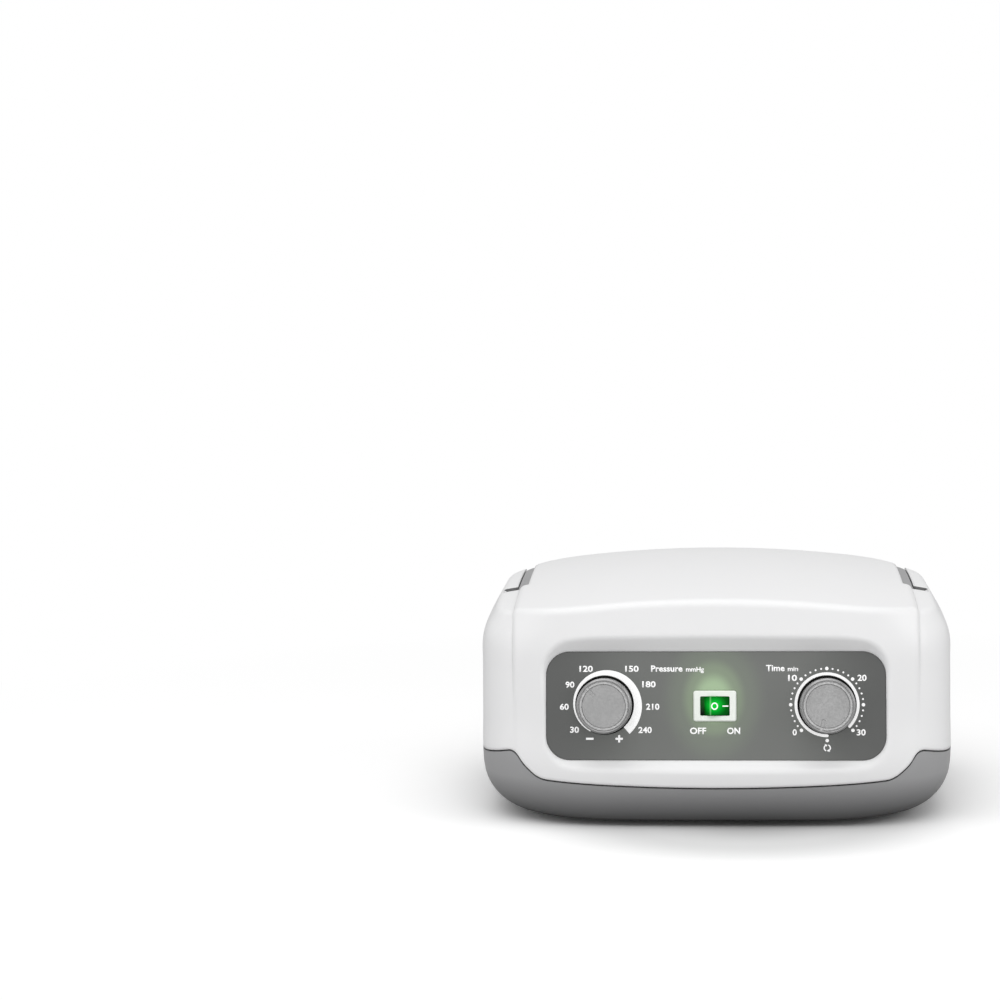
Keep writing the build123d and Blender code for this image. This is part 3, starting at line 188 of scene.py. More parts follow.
# ---------------------------------------------------------------- material building blocks
class Recipe:
    """A material's node tree, with short calls for the nodes that the finishes share."""

    def __init__(self, name):
        self.material = bpy.data.materials.new(name)
        self.material.use_nodes = True
        self.tree = self.material.node_tree
        self.tree.nodes.clear()
        self.output = self.tree.nodes.new("ShaderNodeOutputMaterial")
        self.shader = self.tree.nodes.new("ShaderNodeBsdfPrincipled")
        self.join(self.shader.outputs[0], self.output.inputs["Surface"])
        self.place = self.node("ShaderNodeTexCoord").outputs["Object"]

    def node(self, kind, **settings):
        """New node of a kind, with its settings."""
        made = self.tree.nodes.new(kind)
        for key, value in settings.items():
            setattr(made, key, value)
        return made

    def join(self, source, target):
        """Links an output to an input."""
        self.tree.links.new(source, target)

    def vector(self, operation, source, other=None):
        """Vector maths on a source and, where given, an output or a fixed vector."""
        made = self.node("ShaderNodeVectorMath", operation=operation)
        self.join(source, made.inputs[0])
        if isinstance(other, bpy.types.NodeSocket):
            self.join(other, made.inputs[1])
        elif other is not None:
            made.inputs[1].default_value = other
        number = operation in ("LENGTH", "DOT_PRODUCT")
        return made.outputs["Value" if number else "Vector"]

    def mixed(self, kind, first, second):
        """Two colours joined in full by a way of mixing."""
        both = self.node("ShaderNodeMix", data_type="RGBA", blend_type=kind)
        both.inputs["Factor"].default_value = 1.0
        self.join(first, both.inputs["A"])
        self.join(second, both.inputs["B"])
        return both.outputs["Result"]

    def set(self, **values):
        """Sets inputs of the shader by name, with underscores for spaces."""
        for key, value in values.items():
            self.shader.inputs[key.replace("_", " ")].default_value = value

    def noise(self, scale, detail=2.0, roughness=0.5, vector=None):
        """Grey noise pattern in object coordinates, or in the given ones."""
        made = self.node("ShaderNodeTexNoise")
        made.inputs["Scale"].default_value = scale
        made.inputs["Detail"].default_value = detail
        made.inputs["Roughness"].default_value = roughness
        self.join(vector or self.place, made.inputs["Vector"])
        return made.outputs["Fac"]

    def stretch(self, scale):
        """Object coordinates scaled by a factor for each axis."""
        return self.vector("MULTIPLY", self.place, scale)

    def span(self, source, low, high, start=0.3, end=0.7):
        """Maps a grey pattern between start and end to the values low to high."""
        made = self.node("ShaderNodeMapRange")
        for key, value in (("From Min", start), ("From Max", end), ("To Min", low),
                           ("To Max", high)):
            made.inputs[key].default_value = value
        self.join(source, made.inputs["Value"])
        return made.outputs["Result"]

    def tint(self, colour, source, spread):
        """Base colour that wanders a little around the given one."""
        mix = self.node("ShaderNodeMix", data_type="RGBA")
        mix.inputs["A"].default_value = (*[max(0, c - spread) for c in colour], 1)
        mix.inputs["B"].default_value = (*[min(1, c + spread) for c in colour], 1)
        self.join(self.span(source, 0, 1), mix.inputs["Factor"])
        return mix.outputs["Result"]

    def bump(self, source, strength, distance, normal=None):
        """Normal raised by a pattern, on top of the given one."""
        made = self.node("ShaderNodeBump")
        made.inputs["Strength"].default_value = strength
        made.inputs["Distance"].default_value = distance
        self.join(source, made.inputs["Height"])
        if normal:
            self.join(normal, made.inputs["Normal"])
        return made.outputs["Normal"]

    def rounded(self, radius):
        """Normal that rounds the hard edges by a small radius."""
        made = self.node("ShaderNodeBevel", samples=6)
        made.inputs["Radius"].default_value = radius
        return made.outputs["Normal"]

    def glow(self, centre, weights, reach, stops, blend="EASE"):
        """Colour that runs through the stops from the centre to the reach, in metres."""
        away = self.vector("SUBTRACT", self.place, centre)
        far = self.vector("LENGTH", self.vector("MULTIPLY", away, weights))
        made = self.node("ShaderNodeValToRGB")
        made.color_ramp.interpolation = blend
        for element, (position, colour) in zip(made.color_ramp.elements, (stops[0], stops[-1])):
            element.position = position
            element.color = (*colour, 1)
        for position, colour in stops[1:-1]:
            made.color_ramp.elements.new(position).color = (*colour, 1)
        self.join(self.span(far, 0, 1, 0.0, reach), made.inputs["Fac"])
        return made.outputs["Color"]

    def plus(self, first, second):
        """Sum of two colours."""
        return self.mixed("ADD", first, second)

    def times(self, colour, factor):
        """Colour multiplied by a colour or a grey."""
        return self.mixed("MULTIPLY", colour, factor)

    def along(self, direction, start):
        """Distance from a point along a direction, in metres."""
        return self.vector("DOT_PRODUCT", self.vector("SUBTRACT", self.place, start), direction)

    def painted_low_shade(self, colour, dark):
        """Colour with painted shade that deepens towards the table, over the lowest 24 mm."""
        height = self.along((0, 0, 1), (0, 0, 0))
        return self.times(colour, self.span(height, dark, 1.0, 0.003, 0.024))

    def painted_edge_line(self, colour, radius):
        """Colour with a fine painted shade line along sharp outer edges."""
        face = self.node("ShaderNodeNewGeometry").outputs["True Normal"]
        level = self.vector("DOT_PRODUCT", self.rounded(radius), face)
        return self.times(colour, self.span(level, EDGE_SHADE, 1.0, 0.86, 0.95))

    def painted_notch_shadow(self, colour):
        """Colour with a painted shadow on the rear walls of the notches beside the handle's arms.
        """
        share = self.place
        for operation, value in (("ADD", (0, 1, 0)), ("ABSOLUTE", None),
                                 ("SUBTRACT", NOTCH_PLACE), ("DIVIDE", NOTCH_HALF),
                                 ("ABSOLUTE", None)):
            share = self.vector(operation, share, value)
        parts = self.node("ShaderNodeSeparateXYZ")
        self.join(share, parts.inputs[0])
        widest = parts.outputs["X"]
        for axis in ("Y", "Z"):
            larger = self.node("ShaderNodeMath", operation="MAXIMUM")
            self.join(widest, larger.inputs[0])
            self.join(parts.outputs[axis], larger.inputs[1])
            widest = larger.outputs[0]
        return self.times(colour, self.span(widest, NOTCH_SHADOW, 1.0, 0.9, 1.05))

    def painted_gap_shade(self, colour, reach):
        """Colour with painted shade in narrow gaps and deep corners."""
        made = self.node("ShaderNodeAmbientOcclusion", samples=6)
        made.inputs["Distance"].default_value = reach
        return self.times(colour, self.span(made.outputs["AO"], GAP_SHADE, 1.0, 0.3, 0.62))

    def into(self, socket, source):
        """Links an output to a named input of the shader."""
        self.join(source, self.shader.inputs[socket])


def moulding(name, colour, rough=0.35, texture=0.12, edge=0.0004, spread=0.012, patchy=0.05,
             low=1.0, notch_shadow=False, line=0.0):
    """Injection-moulded plastic: fine spark-eroded texture, faint flow marks, soft edges, painted
    shade in gaps and corners, and where asked painted shade low down, in the notches and along
    sharp edges.
    """
    recipe = Recipe(name)
    recipe.set(IOR=1.5)
    flow = recipe.noise(9.0, 3.0)
    grain = recipe.noise(2600.0, 2.0)
    # Painted shade in gaps and corners.
    body = recipe.painted_gap_shade(recipe.tint(colour, flow, spread), 0.0016)
    # Painted shade towards the table.
    if low < 1:
        body = recipe.painted_low_shade(body, low)
    # Painted shadow on the rear walls of the notches.
    if notch_shadow:
        body = recipe.painted_notch_shadow(body)
    # Painted shade line along sharp edges.
    if line:
        body = recipe.painted_edge_line(body, line)
    recipe.into("Base Color", body)
    wear = recipe.noise(35.0, 4.0)
    recipe.into("Roughness", recipe.span(wear, rough - patchy, rough + patchy))
    normal = recipe.rounded(edge)
    recipe.into("Normal", recipe.bump(grain, texture, 0.00004, normal))
    return recipe.material


def blasted_metal(name, colour, rough=0.42, edge=0.0003, foot_shade=1.0):
    """Bead-blasted light metal: fine even sparkle, darker by painted shade close to the panel."""
    recipe = Recipe(name)
    recipe.set(Metallic=1.0)
    body = recipe.tint(colour, recipe.noise(60.0, 4.0), 0.02)
    # Painted shade close to the panel.
    if foot_shade < 1:
        lift = recipe.along(N_DIR, PANEL)
        body = recipe.times(body, recipe.span(lift, foot_shade, 1.0, 0.001, 0.0115))
    recipe.into("Base Color", body)
    recipe.into("Roughness", recipe.span(recipe.noise(900.0, 3.0), rough - 0.07, rough + 0.07))
    normal = recipe.rounded(edge)
    recipe.into("Normal", recipe.bump(recipe.noise(3200.0, 1.0), 0.15, 0.00003, normal))
    return recipe.material


def brushed_metal(name, colour, rough=0.3):
    """Rolled or plated sheet with long fine lines along X."""
    recipe = Recipe(name)
    recipe.set(Metallic=1.0)
    lines = recipe.noise(1.0, 4.0, 0.6, recipe.stretch((60.0, 2400.0, 2400.0)))
    recipe.into("Base Color", recipe.tint(colour, recipe.noise(40.0, 3.0), 0.03))
    recipe.into("Roughness", recipe.span(lines, rough - 0.08, rough + 0.1))
    recipe.into("Normal", recipe.bump(lines, 0.12, 0.00003))
    return recipe.material


def rubber(name, colour=(0.025, 0.025, 0.026)):
    """Matt moulded rubber with a dusty bloom."""
    recipe = Recipe(name)
    recipe.set(IOR=1.45)
    recipe.into("Base Color", recipe.tint(colour, recipe.noise(120.0, 5.0), 0.008))
    recipe.into("Roughness", recipe.span(recipe.noise(400.0, 3.0), 0.65, 0.85))
    recipe.into("Normal", recipe.bump(recipe.noise(1800.0, 3.0), 0.3, 0.00005))
    return recipe.material


def winding(name, colour):
    """Enamelled wire, turn beside turn."""
    recipe = Recipe(name)
    recipe.set(Metallic=0.6)
    wire = recipe.node("ShaderNodeTexWave", wave_type="BANDS", bands_direction="Y")
    wire.inputs["Scale"].default_value = 420.0
    wire.inputs["Distortion"].default_value = 0.6
    recipe.join(recipe.place, wire.inputs["Vector"])
    recipe.into("Base Color", recipe.tint(colour, wire.outputs["Fac"], 0.08))
    recipe.into("Roughness", recipe.span(recipe.noise(300.0, 2.0), 0.3, 0.45))
    recipe.into("Normal", recipe.bump(wire.outputs["Fac"], 0.6, 0.0002))
    return recipe.material


def laminations(name, colour):
    """Stack of lacquered core sheets, edges showing as fine lines along Z."""
    recipe = Recipe(name)
    recipe.set(Metallic=0.5)
    sheets = recipe.node("ShaderNodeTexWave", wave_type="BANDS", bands_direction="Z")
    sheets.inputs["Scale"].default_value = 300.0
    recipe.join(recipe.place, sheets.inputs["Vector"])
    recipe.into("Base Color", recipe.tint(colour, sheets.outputs["Fac"], 0.03))
    recipe.into("Roughness", recipe.span(recipe.noise(200.0, 3.0), 0.45, 0.65))
    recipe.into("Normal", recipe.bump(sheets.outputs["Fac"], 0.4, 0.0002))
    return recipe.material


def silicone(name, colour):
    """Milky flexible tubing."""
    recipe = Recipe(name)
    recipe.set(IOR=1.42, Transmission_Weight=0.35)
    recipe.into("Base Color", recipe.tint(colour, recipe.noise(80.0, 3.0), 0.03))
    recipe.into("Roughness", recipe.span(recipe.noise(250.0, 2.0), 0.3, 0.42))
    recipe.into("Normal", recipe.bump(recipe.noise(900.0, 2.0), 0.1, 0.00005))
    return recipe.material


def fascia(name, colour):
    """Satin panel with painted light, paler towards its middle and with a faint green glow round
    the switch, and painted shade in its gaps.
    """
    recipe = Recipe(name)
    recipe.set(IOR=1.45, Emission_Strength=1.0)
    grain = recipe.noise(2200.0, 2.0)
    body = recipe.tint(colour, recipe.noise(14.0, 3.0), 0.004)
    recipe.into("Base Color", recipe.painted_gap_shade(body, 0.0025))
    recipe.into("Roughness", recipe.span(recipe.noise(60.0, 3.0), 0.42, 0.5))
    recipe.into("Normal", recipe.bump(grain, 0.1, 0.00003, recipe.rounded(0.0005)))
    # Painted light: green glow from the switch's lamp round the switch.
    near = recipe.glow(on_panel(-0.0009, 0.0036), (1.25, 1.0, 1.0), 0.034, (
        (0.0, (0.22, 0.36, 0.17)), (0.2, (0.20, 0.32, 0.15)), (0.42, (0.075, 0.12, 0.05)),
        (0.62, (0.022, 0.036, 0.015)), (1.0, (0.0, 0.0, 0.0))))
    # Painted light: the panel's middle paler than its ends.
    wide = recipe.glow(on_panel(0.0, 0.0), (1.0, 0.4, 0.4), 0.085, (
        (0.0, (0.062, 0.068, 0.059)), (0.4, (0.055, 0.058, 0.053)), (1.0, (0.0, 0.0, 0.0))))
    recipe.into("Emission Color", recipe.painted_gap_shade(recipe.plus(near, wide), 0.0025))
    return recipe.material


def switch_black(name):
    """Black moulding with a painted green glow from the lamp inside the switch."""
    recipe = Recipe(name)
    recipe.set(IOR=1.5, Emission_Strength=1.0)
    recipe.into("Base Color", recipe.tint((0.025, 0.025, 0.027), recipe.noise(9.0, 3.0), 0.005))
    recipe.into("Roughness", recipe.span(recipe.noise(35.0, 4.0), 0.4, 0.5))
    recipe.into("Normal", recipe.bump(recipe.noise(2600.0), 0.3, 0.00004, recipe.rounded(0.0003)))
    # Painted light from the lamp behind the rocker.
    light = recipe.glow(on_panel(-0.0040, 0.0006), (1.0, 0.3, 1.0), 0.008, (
        (0.0, (0.0, 0.20, 0.006)), (0.45, (0.0, 0.07, 0.002)), (1.0, (0.0, 0.0, 0.0))))
    recipe.into("Emission Color", light)
    return recipe.material


def lit_lens(name, colour):
    """Green rocker, glowing most in its middle over the lamp, with a painted highlight along its
    raised edge.
    """
    recipe = Recipe(name)
    recipe.set(IOR=1.49, Specular_IOR_Level=0.02, Emission_Strength=1.0)
    recipe.into("Base Color", recipe.tint(colour, recipe.noise(90.0, 2.0), 0.004))
    recipe.into("Roughness", recipe.span(recipe.noise(200.0, 2.0), 0.3, 0.4))
    light = recipe.glow(on_panel(-0.0004, 0.0008), (1.0, 0.2, 1.15), 0.0088, (
        (0.0, (0.01, 0.66, 0.040)), (0.2, (0.0, 0.54, 0.032)), (0.34, (0.0, 0.38, 0.022)),
        (0.5, (0.0, 0.20, 0.010)), (0.68, (0.0, 0.07, 0.003)), (1.0, (0.0, 0.008, 0.0))),
        "LINEAR")
    # Painted highlight along the rocker's raised edge.
    edge = recipe.glow(on_panel(-0.0025, 0.0005), (1.0, 0.06, 0.06), 0.0006, (
        (0.0, (0.16, 0.30, 0.17)), (0.6, (0.10, 0.20, 0.11)), (1.0, (0.0, 0.0, 0.0))))
    recipe.into("Emission Color", recipe.plus(light, edge))
    return recipe.material


def print_ink(name, colour):
    """Screen-printed ink: slightly uneven, satin, with a faint painted glow that keeps it bright.
    """
    recipe = Recipe(name)
    recipe.set(IOR=1.45, Emission_Color=(1, 1, 1, 1), Emission_Strength=0.32)
    recipe.into("Base Color", recipe.tint(colour, recipe.noise(700.0, 3.0), 0.03))
    recipe.into("Roughness", recipe.span(recipe.noise(400.0, 2.0), 0.45, 0.6))
    recipe.into("Normal", recipe.bump(recipe.noise(2500.0, 2.0), 0.1, 0.00002))
    return recipe.material


def lamp_glass(name, colour):
    """Lit glass of the lamp behind the rocker."""
    recipe = Recipe(name)
    recipe.set(Emission_Color=(*colour, 1), Emission_Strength=3.0)
    recipe.into("Base Color", recipe.tint(colour, recipe.noise(200.0), 0.02))
    recipe.into("Roughness", recipe.span(recipe.noise(200.0), 0.1, 0.2))
    return recipe.material


def finishes():
    """Material of each of the record's slots."""
    colours = bpy.context.scene.pump_colours
    return {
        # The shell takes a painted shadow in its notches and a painted shade line along sharp
        # edges.
        "white_shell": lambda n: moulding(
            n, colours.shell, rough=0.30, texture=0.05, edge=0.0024, spread=0.003,
            patchy=0.015, notch_shadow=True, line=0.0006),
        # The base takes painted shade towards the table and a painted shade line along sharp
        # edges.
        "grey_base": lambda n: moulding(
            n, colours.base, rough=0.42, texture=0.25, edge=0.0005, spread=0.004,
            patchy=0.04, low=0.26, line=0.0009),
        "grey_panel": lambda n: fascia(n, colours.fascia),
        "grey_handle": lambda n: moulding(n, colours.handle, 0.4, 0.2, 0.0006, 0.01),
        # The knobs take painted shade close to the panel.
        "silver_knob": lambda n: blasted_metal(n, colours.dial, 0.38, foot_shade=0.03),
        "silver_cap": lambda n: blasted_metal(n, colours.dial, 0.5),
        # White of the switch's bezel, faintly green as painted light from the lit rocker.
        "white_moulding": lambda n: moulding(n, (0.95, 0.99, 0.93), 0.32, 0.08, 0.0003, 0.01),
        "black_moulding": switch_black,
        "black_rubber": rubber,
        "green_lens": lambda n: lit_lens(n, colours.lens),
        "lamp": lambda n: lamp_glass(n, (0.2, 1.0, 0.3)),
        "bare_metal": lambda n: brushed_metal(n, (0.62, 0.62, 0.63)),
        "brass_contact": lambda n: brushed_metal(n, (0.72, 0.55, 0.28), 0.25),
        "core_iron": lambda n: laminations(n, (0.16, 0.16, 0.17)),
        "copper_coil": lambda n: winding(n, (0.55, 0.22, 0.09)),
        "cast_alloy": lambda n: blasted_metal(n, (0.62, 0.62, 0.63), 0.55),
        "clear_tube": lambda n: silicone(n, (0.78, 0.79, 0.77)),
        "board_green": lambda n: moulding(n, (0.02, 0.16, 0.06), 0.35, 0.1, 0.0001, 0.01),
    }


# ---------------------------------------------------------------- drawing the print
OUTLINE_LIFT = 0.00006       # height at which outlines are drawn, words lie at 0
CAPITAL = 0.72               # height of the font's capitals at size 1

# Scales: where they run, in degrees clockwise from the top, and what is printed beside them.
PRESSURE_ARC = (208.0, 499.5)
TIME_ARC = (180.0, 494.0)
FIRST_MINUTE, MINUTE_STEP = 225.0, 9.0
DOT_LARGE, DOT_SMALL = 0.00085, 0.00047
SYMBOL_HEIGHT = -0.0211      # of the middle of the two arrows
SIGN_HEIGHT = -0.0167        # of the minus and the plus
FIGURE_WIDTH = {1: 0.0021, 2: 0.0044, 3: 0.0066}     # by the number of digits
PRESSURE_FIGURES = (         # places in millimetres
    ("30", -14.8, -12.3), ("60", -19.8, -1.0), ("90", -17.0, 9.8), ("120", -9.0, 17.6),
    ("150", 13.5, 17.6), ("180", 21.8, 10.0), ("210", 23.6, -1.0), ("240", 19.8, -12.4))
TIME_FIGURES = (
    ("10", -16.7, 13.1), ("20", 17.1, 13.1), ("0", -15.8, -13.5), ("30", 16.5, -13.5))

# Captions: words, place of the middle, height as a share of the setting, and width.
CAPTIONS = (
    ("Pressure", -0.0238, 0.0184, 1.0, 0.0155), ("mmHg", -0.0100, 0.0180, 0.75, 0.0088),
    ("Time", 0.0293, 0.0186, 1.0, 0.0091), ("min", 0.0379, 0.0182, 0.75, 0.0051),
    ("OFF", -0.0086, -0.0122, 1.08, 0.0080), ("ON", 0.0088, -0.0122, 1.08, 0.0064))


def as_object(name, data):
    """New object in the scene that shows some data."""
    made = bpy.data.objects.new(name, data)
    bpy.context.scene.collection.objects.link(made)
    return made


def raised(bm, outline, holes=()):
    """Fills a closed outline flat in bm; holes are more closed outlines."""
    edges = []
    for loop in (outline, *holes):
        points = [bm.verts.new((x, y, OUTLINE_LIFT)) for x, y in loop]
        edges += [bm.edges.new((a, b)) for a, b in zip(points, points[1:] + points[:1])]
    bmesh.ops.triangle_fill(bm, use_beauty=True, use_dissolve=False, edges=edges)


def box_outline(left, low, right, high):
    """Closed outline of an upright rectangle."""
    return [(left, low), (right, low), (right, high), (left, high)]


def disc_outline(cx, cy, radius, count=20):
    """Closed outline of a circle."""
    steps = [2 * math.pi * i / count for i in range(count)]
    return [(cx + radius * math.cos(a), cy + radius * math.sin(a)) for a in steps]


def clockwise(radius, degrees):
    """Point on a circle at that many degrees clockwise from the top."""
    a = math.radians(degrees)
    return radius * math.sin(a), radius * math.cos(a)


def band_outline(start, end, inner, outer, step=3.0):
    """Closed outline of a band between two radii that may change with the share of its run."""
    count = max(2, int((end - start) / step))
    shares = [i / count for i in range(count + 1)]
    out = [clockwise(outer(s), start + (end - start) * s) for s in shares]
    back = [clockwise(inner(s), start + (end - start) * s) for s in reversed(shares)]
    return out + back


def rounded_end(radius, degrees, width, side):
    """Half disc that rounds off the end of a band; side is 1 after the end, -1 before."""
    cx, cy = clockwise(radius, degrees)
    points = []
    for i in range(1, 8):
        turn = math.pi * i / 8
        out = width / 2 * math.cos(turn)
        along = width / 2 * math.sin(turn) * side
        a = math.radians(degrees)
        points.append((cx + out * math.sin(a) + along * math.cos(a),
                       cy + out * math.cos(a) - along * math.sin(a)))
    return points


def ring_outline(start, end, radius, width):
    """Band of even width with rounded ends."""
    band = band_outline(start, end, lambda s: radius - width / 2, lambda s: radius + width / 2)
    half = len(band) // 2
    tail = rounded_end(radius, end, width, 1)
    head = rounded_end(radius, start, width, -1)
    return band[:half] + tail + band[half:] + list(reversed(head))


def text_mesh(words, height, width, bold=0.028):
    """Flat mesh of some words: height of the capitals, and width of the whole."""
    curve = bpy.data.curves.new("words", "FONT")
    curve.body = words
    curve.offset = bold
    curve.resolution_u = 3
    holder = as_object("words", curve)
    bpy.context.view_layer.update()
    deps = bpy.context.evaluated_depsgraph_get()
    mesh = bpy.data.meshes.new_from_object(holder.evaluated_get(deps))
    bpy.data.objects.remove(holder)
    bpy.data.curves.remove(curve)
    xs = [v.co.x for v in mesh.vertices]
    ys = [v.co.y for v in mesh.vertices]
    lower_case = any(c.islower() for c in words)
    capital = CAPITAL if lower_case else max(ys) - min(ys)
    low = 0.0 if lower_case else min(ys)
    scale_y = height / capital
    scale_x = width / (max(xs) - min(xs))
    middle = (max(xs) + min(xs)) / 2
    for v in mesh.vertices:
        v.co.x = (v.co.x - middle) * scale_x
        v.co.y = (v.co.y - low) * scale_y - height / 2
    return mesh


def add_words(bm, words, u, v, height, width):
    """Adds some words to bm, with their middle at u and v."""
    mesh = text_mesh(words, height, width)
    mesh.transform(Matrix.Translation((u, v, 0.0)))
    bm.from_mesh(mesh)
    bpy.data.meshes.remove(mesh)


def add_figures(bm, figures, height):
    """Adds the figures of a scale to bm."""
    for words, x, y in figures:
        add_words(bm, words, x / 1000, y / 1000, height, FIGURE_WIDTH[len(words)])


def print_piece(name, draw, body, material, place):
    """Builds one printed piece from a drawing in the XY plane, as a thin closed plate."""
    bm = bmesh.new()
    draw(bm)
    bmesh.ops.remove_doubles(bm, verts=bm.verts, dist=1e-7)
    bmesh.ops.recalc_face_normals(bm, faces=bm.faces)
    for face in bm.faces:
        if face.normal.z < 0:
            face.normal_flip()
    thickness = bpy.context.scene.pump_sizes.ink
    skirt = bmesh.ops.extrude_face_region(bm, geom=list(bm.faces))
    moved = [g for g in skirt["geom"] if isinstance(g, bmesh.types.BMVert)]
    bmesh.ops.translate(bm, verts=moved, vec=(0, 0, thickness))
    bmesh.ops.recalc_face_normals(bm, faces=bm.faces)
    mesh = bpy.data.meshes.new(name)
    bm.to_mesh(mesh)
    bm.free()
    mesh.transform(place)
    mesh.materials.append(material)
    made = as_object(name, mesh)
    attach(made, body)


class PUMP_OT_finishes(bpy.types.Operator):
    """Gives every CAD piece the finish of its slot"""
    bl_idname = "pump.finishes"
    bl_label = "Apply finishes"

    def execute(self, context):
        makers = finishes()
        made = {}
        for row in frame["record"]["subparts"]:
            slot = row["material_slot"]
            if slot not in made:
                made[slot] = makers[slot](slot)
            node = NODES[row["node"]]
            node.data.materials.clear()
            node.data.materials.append(made[slot])
        return {"FINISHED"}


def ink_material():
    """White ink of the print, made once."""
    return bpy.data.materials.get("print_ink") or print_ink(
        "print_ink", bpy.context.scene.pump_colours.marking)


class PUMP_OT_pressure_scale(bpy.types.Operator):
    """Prints the growing band and the figures around the pressure dial"""
    bl_idname = "pump.pressure_scale"
    bl_label = "Pressure scale"

    def execute(self, context):
        sizes = context.scene.pump_sizes

        def outer(share):
            """Radius of the band's outer edge, which grows along its run."""
            swell = share - 0.07 * math.sin(2 * math.pi * share)
            return sizes.hole + 0.0004 + 0.0039 * swell

        def draw(bm):
            raised(bm, band_outline(*PRESSURE_ARC, lambda s: sizes.hole, outer))
            add_figures(bm, PRESSURE_FIGURES, sizes.digit)
            minus, length, arm = -0.0092, 0.0037, 0.0005
            raised(bm, box_outline(minus, SIGN_HEIGHT - arm, minus + length, SIGN_HEIGHT + arm))
            plus, half = 0.0071, 0.0018
            cross = [(-half, -arm), (-arm, -arm), (-arm, -half), (arm, -half), (arm, -arm),
                     (half, -arm), (half, arm), (arm, arm), (arm, half), (-arm, half),
                     (-arm, arm), (-half, arm)]
            raised(bm, [(plus + x, SIGN_HEIGHT + y) for x, y in cross])

        print_piece("pressure_scale", draw, "housing", ink_material(),
                    panel_matrix(-KNOB_OFFSET, DIAL_HEIGHT))
        return {"FINISHED"}


class PUMP_OT_time_scale(bpy.types.Operator):
    """Prints the ring, the minute dots and the figures around the time dial"""
    bl_idname = "pump.time_scale"
    bl_label = "Time scale"

    def execute(self, context):
        sizes = context.scene.pump_sizes

        def draw(bm):
            raised(bm, ring_outline(*TIME_ARC, sizes.hole + sizes.ring / 2, sizes.ring))
            for minute in range(31):
                x, y = clockwise(sizes.dots, FIRST_MINUTE + MINUTE_STEP * minute)
                raised(bm, disc_outline(x, y, DOT_SMALL if minute % 5 else DOT_LARGE))
            raised(bm, disc_outline(0, -0.0175, DOT_LARGE))
            add_figures(bm, TIME_FIGURES, sizes.digit)
            for start in (200.0, 20.0):
                loop = band_outline(start, start + 125, lambda s: 0.0012, lambda s: 0.0018, 12)
                raised(bm, [(x, y + SYMBOL_HEIGHT) for x, y in loop])
                tip = [clockwise(r, start + d) for r, d in ((0.0008, 125), (0.0024, 125),
                                                            (0.0015, 165))]
                raised(bm, [(x, y + SYMBOL_HEIGHT) for x, y in tip])

        print_piece("time_scale", draw, "housing", ink_material(),
                    panel_matrix(KNOB_OFFSET, DIAL_HEIGHT))
        return {"FINISHED"}


class PUMP_OT_captions(bpy.types.Operator):
    """Prints the captions of the dials and the switch"""
    bl_idname = "pump.captions"
    bl_label = "Captions"

    def execute(self, context):
        height = context.scene.pump_sizes.caption

        def draw(bm):
            for words, u, v, share, width in CAPTIONS:
                add_words(bm, words, u, v, height * share, width)

        print_piece("captions", draw, "housing", ink_material(),
                    panel_matrix(0, 0))
        return {"FINISHED"}


class PUMP_OT_painted_shade_rings(bpy.types.Operator):
    """Lays a thin black ring under each knob as painted shade, in the gap between the knob and
    the panel
    """
    bl_idname = "pump.dust_rings"
    bl_label = "Painted shade rings"

    def execute(self, context):
        black = rubber("painted_shade_ring", (0.012, 0.012, 0.012))

        def draw(bm):
            raised(bm, disc_outline(0, 0, SHADE_RING_OUTER, 72), [disc_outline(0, 0, SHADE_RING_INNER, 48)])

        for name, u in (("pressure_shade_ring", -KNOB_OFFSET), ("timer_shade_ring", KNOB_OFFSET)):
            print_piece(name, draw, "housing", black,
                        panel_matrix(u, SHADE_RING_HEIGHT, SHADE_RING_DEEP))
        return {"FINISHED"}


class PUMP_OT_rocker_marks(bpy.types.Operator):
    """Prints the ring and the bar on the rocker"""
    bl_idname = "pump.rocker_marks"
    bl_label = "Rocker marks"

    def execute(self, context):
        axis = on_panel(ROCKER_U, 0.0, ROCKER_DEEP)
        face = Matrix.Translation(axis) @ Matrix.Rotation(ROCKER_TILT, 4, V_DIR)

        def on_half(slope):
            """Matrix onto one half of the rocker's slightly hollow top."""
            lift = Matrix.Translation((0, 0, ROCKER_FACE))
            return face @ PANEL_TURN @ lift @ Matrix.Rotation(slope, 4, "Y")

        def draw_ring(bm):
            raised(bm, disc_outline(-0.0025, 0, 0.00182, 28),
                   [disc_outline(-0.0025, 0, 0.0012, 28)])

        def draw_bar(bm):
            raised(bm, box_outline(0.0016, -0.0003, 0.0045, 0.0003))

        print_piece("rocker_ring", draw_ring, "rocker", ink_material(),
                    on_half(ROCKER_HOLLOW))
        print_piece("rocker_bar", draw_bar, "rocker", ink_material(),
                    on_half(-ROCKER_HOLLOW))
        return {"FINISHED"}


# ---------------------------------------------------------------- stage
def soft_light(name, place, target, size, power):
    """Adds a rectangular light that is aimed at a point."""
    lamp = bpy.data.lights.new(name, "AREA")
    lamp.shape = "RECTANGLE"
    lamp.size, lamp.size_y = size
    lamp.energy = power
    made = as_object(name, lamp)
    made.location = place
    made.rotation_euler = (Vector(target) - Vector(place)).to_track_quat("-Z", "Y").to_euler()


